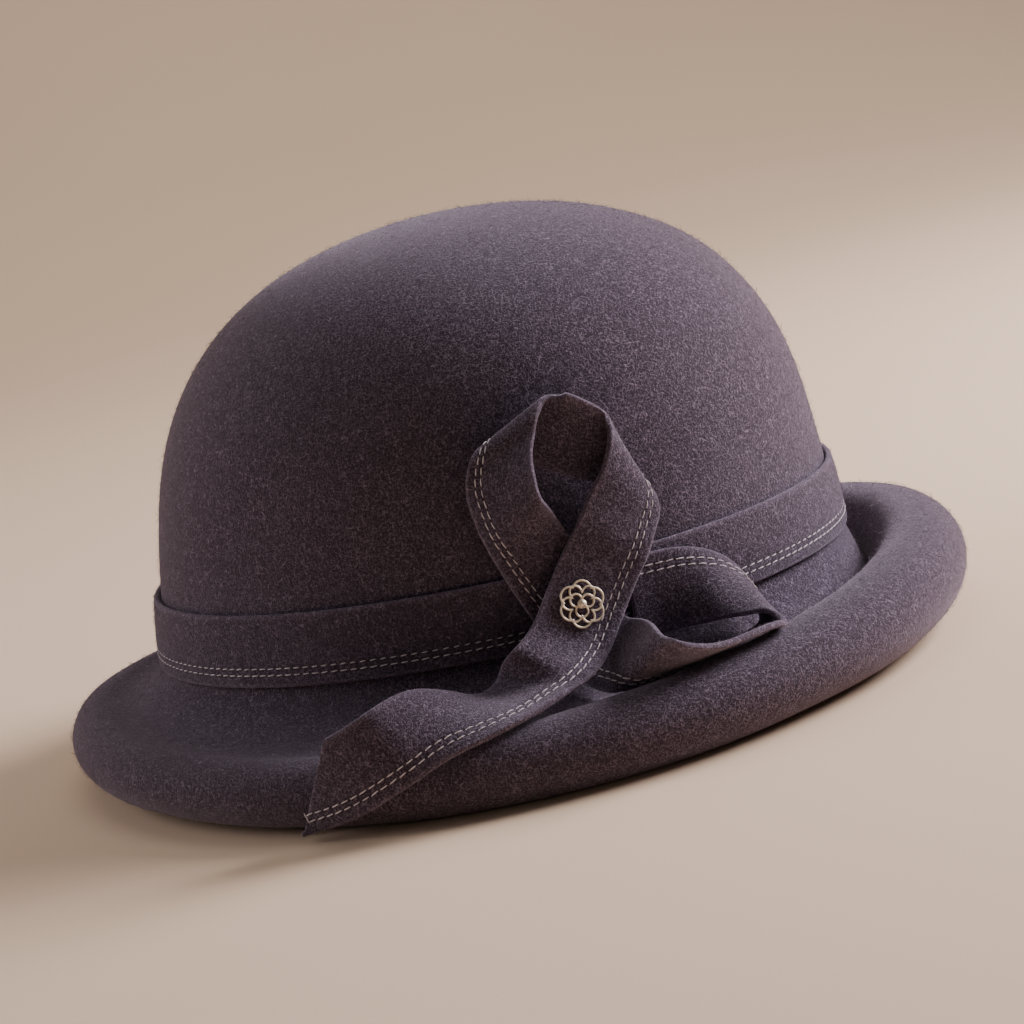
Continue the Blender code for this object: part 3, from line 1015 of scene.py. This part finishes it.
@dataclass
class FeltBody:
    """Crown, flare and rolled brim in one sheet of felt."""

    form: HatForm
    felt: FeltFinish
    pile: PileFinish
    thickness: float = 0.0024
    columns: int = 224
    crown_rows: int = 66
    flare_rows: int = 20
    roll_rows: int = 46
    last_place: float = -3.595
    band_share: float = 0.94
    normal_step: float = 0.06
    waver_above: tuple[float, float] = (1.25, 0.8)
    waver_below: tuple[float, float] = (-0.9, 0.5)
    valley_place: float = -0.12
    bare_height: float = 0.0045
    crown_density: float = 270000.0
    brim_density: float = 330000.0

    def build(self) -> list[bpy.types.Object]:
        """Make the felt and its fibres.

        Returns:
            The felt, the crown's fibres and the brim's fibres.
        """
        form = self.form
        top = form.height / form.unit_width
        places = np.concatenate([
            form.even_places(top, 0.0, self.crown_rows)[1:-1],
            form.even_places(0.0, form.shoulder_place, self.flare_rows)[:-1],
            form.even_places(form.shoulder_place, self.last_place, self.roll_rows),
        ])
        theta = 2.0 * math.pi * np.arange(self.columns) / self.columns
        angles, climbs = np.meshgrid(theta, places)
        outer = form.point(angles, climbs)
        outwards = form.normal(angles, climbs, self.normal_step)
        (above, fade_up), (below, fade_down) = self.waver_above, self.waver_below
        free = np.clip((climbs - above) / fade_up, 0.0, 1.0) + np.clip((below - climbs) / fade_down, 0.0, 1.0)
        shape = outer + (form.waver(outer) * free)[..., None] * outwards
        inner = shape - self.thickness * outwards
        shape[..., 2] = np.maximum(0.0, shape[..., 2])
        low = climbs < form.roll_side
        inner[..., 2] = np.where(low, np.maximum(self.thickness, inner[..., 2]), inner[..., 2])
        lip = self.lip(shape, inner)
        points = form.settle(np.concatenate([shape, lip, inner[::-1]]))
        crown_top = form.settle(form.crown(np.array(0.0), np.array(1.0)))
        tips = (crown_top, crown_top - self.thickness * UP)
        inside = np.zeros_like(climbs)
        bare = np.zeros((len(lip), self.columns))
        shown = (climbs > self.band_share).astype(float)
        brim = ((climbs < self.valley_place) & (outer[..., 2] > self.bare_height)).astype(float)
        skin = GridMesh("felt_body_fine", points, tips=tips, numbers={
            # rim: painted highlight on the brim's cut edge; seam (painted shade at stitches) is nil on the
            # body
            "rim": np.concatenate([inside, bare + 1.0, inside]),
            "seam": np.concatenate([inside, bare, inside]),
            "crown_pile": np.concatenate([shown, bare, inside]),
            "brim_pile": np.concatenate([brim, bare, inside]),
        })
        felt = carry(skin.build(self.felt.material()), "felt_body")
        pieces = [felt]
        for name, where, seed, density in (("crown_fibres", "crown_pile", 11, self.crown_density),
                                           ("brim_fibres", "brim_pile", 23, self.brim_density)):
            fibres = Pile(name, self.pile, density, seed=seed, where=where).grow(felt)
            pieces.append(carry(fibres))
        return pieces

    def lip(self, outer: np.ndarray, inner: np.ndarray) -> np.ndarray:
        """Rounded cut edge between the two faces of the felt."""
        middle = 0.5 * (outer[-1] + inner[-1])
        half = 0.5 * (outer[-1] - inner[-1])
        onward = unit(outer[-1] - outer[-2])
        reach = np.linalg.norm(half, axis=-1, keepdims=True)
        rows = []
        for step in range(1, 6):
            angle = math.pi * step / 6.0
            rows.append(middle + math.cos(angle) * half + math.sin(angle) * reach * onward)
        return np.array(rows)


@dataclass
class FeltBand:
    """Band of felt round the crown's foot, sewn along its lower edge."""

    form: HatForm
    felt: FeltFinish
    pile: PileFinish
    thread: ThreadFinish
    seam: Seam = Seam(depth=0.00026)
    width: float = 0.0198
    thickness: float = 0.0018
    gap: float = 0.0003
    swell: float = 0.0003
    corner: float = 0.0007
    columns: int = 820
    ripple: float = 0.00022
    density: float = 420000.0
    fibre_length: float = 0.0013

    def outline(self) -> tuple[np.ndarray, np.ndarray, np.ndarray]:
        """Section of the band: height on the crown, distance off it, and whether the stitches reach it."""
        rows: list[tuple[float, float, float]] = []
        size, top, out = self.corner, self.width, self.gap + self.thickness
        for cosine, sine in arc_points(-90.0, 0.0):
            rows.append((size + size * sine, out - size + size * cosine, 0.0))
        for inset in SEAM_INSETS + (0.0070, 0.0085, 0.0105, 0.0125, 0.0145, 0.0165, 0.0180):
            rows.append((inset, out, 1.0))
        for cosine, sine in arc_points(0.0, 90.0):
            rows.append((top - size + size * sine, out - size + size * cosine, 0.0))
        for share in (1.0, 0.5, 0.0):
            rows.append((size * 0.3 + (top - size * 0.6) * share, self.gap, -1.0))
        heights, offs, faces = np.array(rows).T
        return heights, offs, faces

    def on_crown(self, theta: np.ndarray, height: np.ndarray,
                 off: np.ndarray) -> tuple[np.ndarray, np.ndarray]:
        """Points off the crown, and the directions out of it."""
        form = self.form
        rise = height / form.height
        along = form.crown(theta + 0.002, rise) - form.crown(theta - 0.002, rise)
        climb = form.crown(theta, rise + 0.01) - form.crown(theta, np.maximum(rise - 0.01, -0.01))
        outwards = unit(np.cross(along, climb))
        return form.settle(form.crown(theta, rise) + off[..., None] * outwards), outwards

    def build(self) -> list[bpy.types.Object]:
        """Make the band, its stitches and its fibres.

        Returns:
            The three pieces.
        """
        heights, offs, faces = self.outline()
        theta = 2.0 * math.pi * np.arange(self.columns) / self.columns
        angles, height = np.meshgrid(theta, heights, indexing="ij")
        rows = StitchRows("band_stitches", self.thread, seed=5)
        ring, outwards = self.on_crown(theta, np.full_like(theta, self.seam.insets[0]),
                                       np.full_like(theta, self.gap + self.thickness))
        steps = np.linalg.norm(np.roll(ring, -1, axis=0) - ring, axis=1)
        arc = np.concatenate([[0.0], np.cumsum(steps)[:-1]])
        girth = float(steps.sum())
        phase = arc / rows.spacing(girth)
        pucker = (0.7 - 0.3 * np.cos(2.0 * math.pi * phase))[:, None]
        pull = self.seam.pull(height) * (faces > 0.0)
        share = height / self.width
        swell = self.swell * 4.0 * share * (1.0 - share) * (faces > 0.0)
        wave = self.ripple * np.sin(9.0 * angles + 0.7) * np.sin(5.0 * angles)
        lift = wave * np.clip(share, 0.0, 1.0) * (faces >= 0.0)
        off = offs[None, :] + swell + np.maximum(lift, -0.0001) - self.seam.depth * pull * pucker
        points = self.on_crown(angles, height, off)[0]
        skin = GridMesh("band_fine", points, wrap_rows=True, numbers={
            # rim: painted highlight on the cut edges; seam: painted shade along the stitch rows
            "rim": (faces == 0.0) * 1.0,
            "seam": np.clip(pull * pucker, 0.0, 1.0),
            "pile": (faces >= 0.0) * (1.0 - 0.6 * pull),
        })
        felt = carry(skin.build(self.felt.material()), "band")
        lines = []
        for inset in self.seam.insets:
            place, outwards = self.on_crown(theta, np.full_like(theta, inset), np.full_like(
                theta, self.gap + self.thickness + 0.3 * self.swell - 0.35 * self.seam.depth))
            lines.append((place, outwards, True))
        stitches = rows.sew(lines)
        fibres = Pile("band_fibres", self.pile, self.density, self.fibre_length, seed=31).grow(felt)
        for piece in (stitches, fibres):
            carry(piece)
        return [felt, stitches, fibres]


Row = tuple[float, float, float, float, float]


@dataclass(frozen=True)
class StripForm:
    """The bow's strip as a surface: length along its stitched edge, and distance across it.

    Each row gives the stitched edge as around, climb and off in strip widths, and the direction across the
    strip as turn and lean in degrees, from straight up towards the front and then outwards.
    """

    form: HatForm
    width: float = 0.0215
    cut_slant: float = 0.0185
    rows: tuple[Row, ...] = (
        (0.84, 0.84, 0.17, -174, 12), (1.18, 0.83, 0.19, -177, 14), (1.53, 0.79, 0.22, -176, 24),
        (1.82, 0.69, 0.24, -177, 39), (2.10, 0.51, 0.25, -176, 54), (2.32, 0.24, 0.25, -175, 72),
        (2.42, -0.10, 0.25, -173, 89), (2.36, -0.30, 0.22, 20, 80), (2.08, -0.38, 0.18, 34, 70),
        (1.70, -0.41, 0.165, 40, 66), (1.34, -0.45, 0.15, 40, 64), (1.00, -0.52, 0.13, 36, 58),
        (0.68, -0.59, 0.11, 31, 47), (0.36, -0.59, 0.10, 40, 25), (0.16, -0.43, 0.12, 47, -19),
        (-0.02, -0.28, 0.15, 48, -15),
        (-0.30, 0.12, 0.20, 50, -3), (-0.52, 0.58, 0.23, 51, -2), (-0.69, 0.98, 0.26, 49, 10),
        (-0.82, 1.34, 0.30, 52, 26), (-0.91, 1.66, 0.30, 58, 26), (-0.96, 1.96, 0.30, 63, 20),
        (-0.93, 2.20, 0.32, 67, 13), (-0.84, 2.38, 0.32, 66, 11), (-0.73, 2.46, 0.24, 62, 11),
        (-0.58, 2.43, 0.16, 56, 11), (-0.36, 2.32, 0.12, 48, 12), (0.02, 2.13, 0.11, 29, 12),
        (0.43, 1.92, 0.11, 15, 9), (0.86, 1.73, 0.15, 1, 6), (1.20, 1.61, 0.22, -15, 8),
        (1.33, 1.49, 0.28, -27, 13), (1.33, 1.30, 0.33, -38, 13), (1.20, 1.09, 0.38, -46, 9),
        (1.05, 0.86, 0.43, -51, 5),
        (0.84, 0.58, 0.43, -55, 1), (0.58, 0.21, 0.48, -57, -2), (0.32, -0.16, 0.51, -57, -4),
        (0.09, -0.45, 0.46, -61, -16), (-0.16, -0.79, 0.22, -75, -46), (-0.40, -1.05, 0.13, -77, -55),
        (-0.66, -1.25, 0.13, -61, -62), (-0.96, -1.40, 0.13, -32, -58), (-1.30, -1.55, 0.12, -21, -38),
        (-1.74, -1.85, 0.14, -15, -16), (-2.26, -2.16, 0.17, -12, -11), (-2.88, -2.42, 0.18, -15, -12),
    )

    def edges(self) -> tuple[np.ndarray, np.ndarray]:
        """Points of the stitched edge and directions across, one for each row."""
        form = self.form
        around, climb, off, turn, lean = np.array(self.rows, float).T
        place = np.array(form.bow_place)
        step = 0.0001
        ahead = form.crown(place + step, np.array(0.0)) - form.crown(place - step, np.array(0.0))
        rate = float(np.linalg.norm(ahead)) / (2.0 * step)
        theta = form.bow_place + around * self.width / rate
        on_crown = form.normal(theta, np.maximum(climb, 0.0), 0.001)
        at_foot = form.normal(theta, np.full_like(theta, 0.001), 0.0005)
        over_flare = unit((1.0 + climb)[:, None] * at_foot - climb[:, None] * UP)
        angle = np.radians(90.0 * (climb - form.roll_side))
        on_roll = np.cos(angle)[:, None] * form.roll_frame(theta)[1] + np.sin(angle)[:, None] * UP
        low = np.where((climb > form.roll_top)[:, None], over_flare, on_roll)
        stand = np.where((climb >= 0.0)[:, None], on_crown, low)
        edge = form.point(theta, climb) + off[:, None] * self.width * stand
        out = form.roll_frame(place)[1]
        front = np.array((-out[1], out[0], 0.0))
        turn, lean = np.radians(turn)[:, None], np.radians(lean)[:, None]
        across = np.cos(lean) * (np.cos(turn) * UP + np.sin(turn) * front) + np.sin(lean) * out
        return edge, across

    def knots(self) -> np.ndarray:
        """Length along the stitched edge at each row."""
        edge = self.edges()[0]
        return np.concatenate([[0.0], np.cumsum(np.linalg.norm(np.diff(edge, axis=0), axis=1))])

    @staticmethod
    def curve(knots: np.ndarray, values: np.ndarray, place: np.ndarray) -> np.ndarray:
        """Smooth curve through values at knots.

        Args:
            knots: lengths of the rows.
            values: one vector a row.
            place: lengths where the curve is wanted.

        Returns:
            One vector for each length.
        """
        spans = np.diff(knots)
        slopes = np.diff(values, axis=0) / spans[:, None]
        both = (spans[1:] + spans[:-1])[:, None]
        inner = (slopes[:-1] * spans[1:, None] + slopes[1:] * spans[:-1, None]) / both
        tangents = np.vstack([slopes[:1], inner, slopes[-1:]])
        index = np.clip(np.searchsorted(knots, place, side="right") - 1, 0, len(knots) - 2)
        span = spans[index][:, None]
        t = (place - knots[index])[:, None] / span
        return ((2.0 * t ** 3 - 3.0 * t ** 2 + 1.0) * values[index]
                + (t ** 3 - 2.0 * t ** 2 + t) * span * tangents[index]
                + (3.0 * t ** 2 - 2.0 * t ** 3) * values[index + 1]
                + (t ** 3 - t ** 2) * span * tangents[index + 1])

    def frame(self, place: np.ndarray) -> tuple[np.ndarray, np.ndarray, np.ndarray]:
        """Edge points, directions across and normals of the outer face at lengths along the strip."""
        knots = self.knots()
        edges, acrosses = self.edges()
        place = np.clip(place, 0.0, knots[-1])
        edge = self.curve(knots, edges, place)
        across = unit(self.curve(knots, acrosses, place))
        middles = []
        for moved in (np.maximum(place - 0.0015, 0.0), np.minimum(place + 0.0015, knots[-1])):
            side = unit(self.curve(knots, acrosses, moved))
            middles.append(self.curve(knots, edges, moved) + 0.5 * self.width * side)
        normal = unit(np.cross(across, middles[1] - middles[0]))
        return edge, across, normal

    def width_at(self, place: np.ndarray) -> np.ndarray:
        """Width left by the slanted cut of the tail."""
        return self.width * np.clip((self.knots()[-1] - place) / self.cut_slant, 0.06, 1.0)


@dataclass
class BowStrip:
    """Felt strip of the bow: side loop, upright loop, front strip and tail, sewn along one edge."""

    strip: StripForm
    felt: FeltFinish
    pile: PileFinish
    thread: ThreadFinish
    seam: Seam = Seam()
    thickness: float = 0.0018
    corner: float = 0.0007
    stations: int = 860
    end_inset: float = 0.0052
    puff: float = 0.00012
    density: float = 480000.0
    fibre_length: float = 0.0013

    def outline(self) -> tuple[np.ndarray, np.ndarray, np.ndarray, np.ndarray]:
        """Section of the strip.

        Returns:
            Share across, metres added to it, distance off the middle, and kind: 1 on the outer face,
            0 on a cut edge and -1 on the inner face.
        """
        size, half = self.corner, 0.5 * self.thickness
        rows: list[tuple[float, float, float, float]] = []

        def turn(first: float, last: float, share: float, inset: float, off: float) -> None:
            for cosine, sine in arc_points(first, last):
                rows.append((share, inset + size * cosine, off + size * sine, 0.0))

        turn(180.0, 90.0, 0.0, size, half - size)
        for inset in SEAM_INSETS + (0.0075, 0.0095, 0.0115, 0.0135, 0.0155, 0.0175, 0.0195):
            rows.append((inset / self.strip.width, 0.0, half, 1.0))
        turn(90.0, 0.0, 1.0, -size, half - size)
        turn(0.0, -90.0, 1.0, -size, size - half)
        for share in (0.85, 0.7, 0.5, 0.3, 0.15):
            rows.append((share, 0.0, -half, -1.0))
        turn(270.0, 180.0, 0.0, size, size - half)
        share, added, off, kind = np.array(rows).T
        return share, added, off, kind

    def line(self, place: np.ndarray, inset: float, off: float) -> tuple[np.ndarray, np.ndarray]:
        """Points along the strip at a distance from the stitched edge, and the normals there."""
        edge, across, normal = self.strip.frame(place)
        return self.strip.form.settle(edge + inset * across + off * normal), normal

    def build(self) -> list[bpy.types.Object]:
        """Make the strip, its stitches and its fibres.

        Returns:
            The three pieces.
        """
        strip, half = self.strip, 0.5 * self.thickness
        length = float(strip.knots()[-1])
        place = np.linspace(0.0, length, self.stations)
        edge, across, normal = strip.frame(place)
        width = strip.width_at(place)
        share, added, off, kind = self.outline()
        narrow = np.minimum(1.0, width / (2.2 * self.corner))[:, None]
        distance = width[:, None] * share[None, :] + added[None, :] * narrow
        rows = StitchRows("bow_stitches", self.thread, seed=7)
        first = self.line(place, self.seam.insets[0], half)[0]
        arc = np.concatenate([[0.0], np.cumsum(np.linalg.norm(np.diff(first, axis=0), axis=1))])
        stop = float(np.interp(length - self.end_inset, place, arc))
        pucker = (0.7 - 0.3 * np.cos(2.0 * math.pi * arc / rows.spacing(stop)))[:, None]
        sewn = (place < length - self.end_inset)[:, None]
        pull = self.seam.pull(distance) * (kind[None, :] > 0.0) * sewn
        puff = self.puff * np.sin(math.pi * np.clip(share, 0.0, 1.0))[None, :] * (kind[None, :] > 0.0)
        lift = off[None, :] + puff - self.seam.depth * pull * pucker
        points = (edge[:, None, :] + distance[..., None] * across[:, None, :]
                  + lift[..., None] * normal[:, None, :])
        # cut marks the cut edges for a painted highlight; seam below gives painted shade along the stitch
        # rows
        cut = np.broadcast_to((kind == 0.0) * 1.0, distance.shape)
        skin = GridMesh("bow_fine", strip.form.settle(points), caps=True, numbers={
            "rim": cut, "seam": np.clip(pull * pucker, 0.0, 1.0), "pile": 1.0 - 0.6 * np.clip(pull, 0.0, 1.0),
        })
        felt = carry(skin.build(self.felt.material()), "bow_ribbon")
        lines = []
        sewn_place = np.linspace(0.0, length - self.end_inset, self.stations)
        for inset in self.seam.insets:
            lines.append((*self.line(sewn_place, inset, half + 0.00002), False))
        across_end = np.linspace(self.seam.insets[0] + 0.0003, self.seam.insets[1] - 0.0003, 6)
        end_place = np.full(6, length - self.end_inset + 0.0012)
        end_edge, end_across, end_normal = strip.frame(end_place)
        end = end_edge + across_end[:, None] * end_across + half * end_normal
        lines.append((strip.form.settle(end), end_normal, False))
        stitches = rows.sew(lines)
        fibres = Pile("bow_fibres", self.pile, self.density, self.fibre_length, seed=43).grow(felt)
        for piece in (stitches, fibres):
            carry(piece)
        return [felt, stitches, fibres]


@dataclass(frozen=True)
class Petals:
    """One scalloped loop of the rosette: petals, radius at peak and dip as shares, and turn in degrees."""

    count: int
    peak: float
    dip: float
    turn: float


@dataclass
class RosettePin:
    """Small rosette of gold wire on the front strip."""

    strip: StripForm
    finish: GoldFinish
    radius: float = 0.0066
    wire: float = 0.0003
    lift: float = 0.0007
    row: int = 36
    beyond: float = 0.001
    share: float = 0.55
    turn: float = math.radians(12.0)
    felt: float = 0.0018
    bead_radius: float = 0.0013
    post_radius: float = 0.0005
    post_length: float = 0.0024
    loops: tuple[Petals, ...] = (
        Petals(6, 0.93, 0.72, 0.0), Petals(6, 0.79, 0.44, 30.0), Petals(3, 0.52, 0.16, 0.0),
    )

    def basis(self) -> tuple[np.ndarray, np.ndarray]:
        """Middle of the pin, and its three directions as rows."""
        place = np.array([self.strip.knots()[self.row] + self.beyond])
        edge, across, normal = (part[0] for part in self.strip.frame(place))
        side = unit(np.cross(across, normal))
        ahead = math.cos(self.turn) * across + math.sin(self.turn) * side
        off = 0.5 * self.felt + self.lift + self.wire
        middle = edge + self.share * self.strip.width * across + off * normal
        return self.strip.form.settle(middle), np.array([ahead, np.cross(normal, ahead), normal])

    def loop(self, petals: Petals) -> tuple[np.ndarray, list[tuple[int, ...]]]:
        """Points and faces of one closed wire in the pin's own plane."""
        stations, sides = 40 * petals.count, 12
        angle = 2.0 * math.pi * np.arange(stations) / stations
        swell = np.abs(np.cos(0.5 * petals.count * angle)) ** 0.7
        radius = self.radius * (petals.dip + (petals.peak - petals.dip) * swell)
        turned = angle + math.radians(petals.turn)
        centres = np.stack([radius * np.cos(turned), radius * np.sin(turned), 0.0 * turned], axis=-1)
        heading = unit(np.roll(centres, -1, axis=0) - np.roll(centres, 1, axis=0))
        side = np.cross(heading, UP)
        corner = 2.0 * math.pi * np.arange(sides) / sides
        ring = (centres[:, None, :] + self.wire * (np.cos(corner)[None, :, None] * side[:, None, :]
                                                   + np.sin(corner)[None, :, None] * UP))
        return ring.reshape(-1, 3), tube_faces(stations, sides, closed=True)

    def bead(self, radius: float) -> tuple[np.ndarray, list[tuple[int, ...]]]:
        """Points and faces of the domed bead in the middle."""
        sides, rings = 24, 10
        points = []
        for ring in range(1, rings):
            angle = math.pi * ring / rings
            for side in range(sides):
                around = 2.0 * math.pi * side / sides
                points.append((radius * math.sin(angle) * math.cos(around),
                               radius * math.sin(angle) * math.sin(around), radius * math.cos(angle)))
        points += [(0.0, 0.0, radius), (0.0, 0.0, -radius)]
        faces = tube_faces(rings - 1, sides)
        last = (rings - 2) * sides
        for side in range(sides):
            after = (side + 1) % sides
            faces.append((len(points) - 2, side, after))
            faces.append((len(points) - 1, last + after, last + side))
        return np.array(points), faces

    def post(self) -> tuple[np.ndarray, list[tuple[int, ...]]]:
        """Points and faces of the short post through the felt."""
        sides = 16
        angle = 2.0 * math.pi * np.arange(sides) / sides
        ring = self.post_radius * np.stack([np.cos(angle), np.sin(angle), 0.0 * angle], axis=-1)
        points = np.vstack([ring, ring - self.post_length * UP])
        faces: list[tuple[int, ...]] = [tuple(range(sides)), tuple(range(sides, 2 * sides))[::-1]]
        return points, faces + tube_faces(2, sides)

    def build(self) -> list[bpy.types.Object]:
        """Make the pin.

        Returns:
            The one piece.
        """
        middle, basis = self.basis()
        points: list[np.ndarray] = []
        faces: list[tuple[int, ...]] = []
        parts = [self.loop(petals) for petals in self.loops] + [self.bead(self.bead_radius), self.post()]
        for part, made in parts:
            first = sum(len(block) for block in points)
            points.append(middle + part @ basis)
            faces += [tuple(first + index for index in face) for face in made]
        mesh = new_mesh("rose_pin_fine", np.vstack(points).tolist(), faces)
        mesh.shade_smooth()
        mesh.set_sharp_from_angle(angle=math.radians(50.0))
        mesh.materials.append(self.finish.material())
        return [carry(linked("rose_pin_fine", mesh), "rose_pin")]


@dataclass(frozen=True)
class Lamp:
    """One soft area lamp aimed at the hat."""

    name: str
    place: tuple[float, float, float]
    size: float
    power: float
    colour: Colour
    target: tuple[float, float, float] = (0.0, 0.0, 0.06)


@dataclass
class Studio:
    """Camera, lamps and the pale sweep."""

    focal_pixels: float = 2600.0
    picture: float = 1024.0
    elevation: float = 11.33
    roll: float = 12.32
    distance: float = 0.7642
    pivot: tuple[float, float, float] = (-0.0053, 0.0055, 0.0471)
    centre: tuple[float, float] = (476.04, 530.01)
    lamps: tuple[Lamp, ...] = (
        Lamp("key", (0.94, 0.20, 0.60), 0.60, 24.0, (1.0, 0.94, 0.98)),
        Lamp("front fill", (0.30, -1.20, 0.75), 0.9, 0.25, (1.0, 0.95, 0.97)),
        Lamp("left rim", (-0.95, 0.15, 0.42), 0.8, 4.5, (1.0, 0.94, 0.96)),
        Lamp("backdrop", (0.0, 1.10, 2.60), 2.6, 40.0, (1.0, 0.93, 0.86), (0.0, 3.4, 0.7)),
    )
    ambient: float = 0.045
    sweep_side: float = 3.0
    sweep_flat: float = 1.0
    sweep_radius: float = 2.4
    sweep_top: float = 4.0
    paper: FloorFinish = FloorFinish("pale_paper", (0.84, 0.64, 0.47), (0.82, 0.62, 0.45))

    def camera(self) -> None:
        """Stand the camera at the photograph's angle."""
        data = bpy.data.cameras.new("camera")
        camera = linked("camera", data)
        elevation, roll = math.radians(self.elevation), math.radians(self.roll)
        back = Vector((0.0, -math.cos(elevation), math.sin(elevation)))
        right = Vector((1.0, 0.0, 0.0))
        up = right.cross(-back)
        across = math.cos(roll) * right - math.sin(roll) * up
        upward = math.sin(roll) * right + math.cos(roll) * up
        place = Matrix((across, upward, back)).transposed().to_4x4()
        place.translation = Vector(self.pivot) + self.distance * back
        camera.matrix_world = place
        data.sensor_width = 36.0
        data.lens = 36.0 * self.focal_pixels / self.picture
        data.shift_x = (0.5 * self.picture - self.centre[0]) / self.picture
        data.shift_y = (self.centre[1] - 0.5 * self.picture) / self.picture
        data.clip_start = 0.01
        bpy.context.scene.camera = camera

    def light(self) -> None:
        """Hang the lamps and give the room its soft light."""
        for lamp in self.lamps:
            data = bpy.data.lights.new(lamp.name, "AREA")
            data.shape = "DISK"
            data.size = lamp.size
            data.energy = lamp.power
            data.color = lamp.colour
            made = linked(lamp.name, data)
            made.location = lamp.place
            aim = Vector(lamp.target) - Vector(lamp.place)
            made.rotation_euler = aim.to_track_quat("-Z", "Y").to_euler()
        world = bpy.data.worlds.new("room")
        world.use_nodes = True
        ground = world.node_tree.nodes["Background"]
        ground.inputs["Color"].default_value = (1.0, 0.93, 0.86, 1.0)
        ground.inputs["Strength"].default_value = self.ambient
        bpy.context.scene.world = world

    def sweep(self) -> None:
        """Lay the pale paper, which curves up far behind the hat."""
        flat, radius, side = self.sweep_flat, self.sweep_radius, self.sweep_side
        section = [(-side, 0.0), (-1.0, 0.0), (0.6, 0.0), (flat, 0.0)]
        for step in range(1, 25):
            angle = math.radians(90.0 * step / 24.0)
            section.append((flat + radius * math.sin(angle), radius - radius * math.cos(angle)))
        section.append((flat + radius, self.sweep_top))
        points = [(x, y, z) for y, z in section for x in (-side, side)]
        faces = [(2 * row, 2 * row + 1, 2 * row + 3, 2 * row + 2) for row in range(len(section) - 1)]
        mesh = new_mesh("pale_sweep", points, faces)
        mesh.shade_smooth()
        mesh.materials.append(self.paper.material())
        linked("pale_sweep", mesh)

    def build(self) -> None:
        """Set the whole stage."""
        self.camera()
        self.light()
        self.sweep()


def main() -> None:
    """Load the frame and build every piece."""
    logging.basicConfig(level=logging.INFO, format="%(name)s: %(message)s")
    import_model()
    Studio().build()
    form = HatForm()
    strip = StripForm(form)
    body_felt = FeltFinish("plum_felt", (0.039, 0.028, 0.043), (0.048, 0.035, 0.053),
                           (0.290, 0.232, 0.318))
    trim_felt = FeltFinish("plum_felt_trim", (0.038, 0.027, 0.042), (0.047, 0.034, 0.052),
                           (0.285, 0.228, 0.313))
    wool = PileFinish("loose_wool", (0.100, 0.074, 0.101), (0.420, 0.338, 0.430))
    thread = ThreadFinish("lilac_thread", (0.82, 0.76, 0.79), (0.52, 0.46, 0.50))
    gold = GoldFinish("pale_gold", (1.00, 0.88, 0.70), (0.92, 0.76, 0.55))
    assemblies = (
        FeltBody(form, body_felt, wool),
        FeltBand(form, trim_felt, wool, thread),
        BowStrip(strip, trim_felt, wool, thread),
        RosettePin(strip, gold),
    )
    for assembly in assemblies:
        for piece in assembly.build():
            mesh = piece.data
            mesh.calc_loop_triangles()
            LOG.info("%s: %d triangles", piece.name, len(mesh.loop_triangles))


if __name__ == "__main__":
    main()
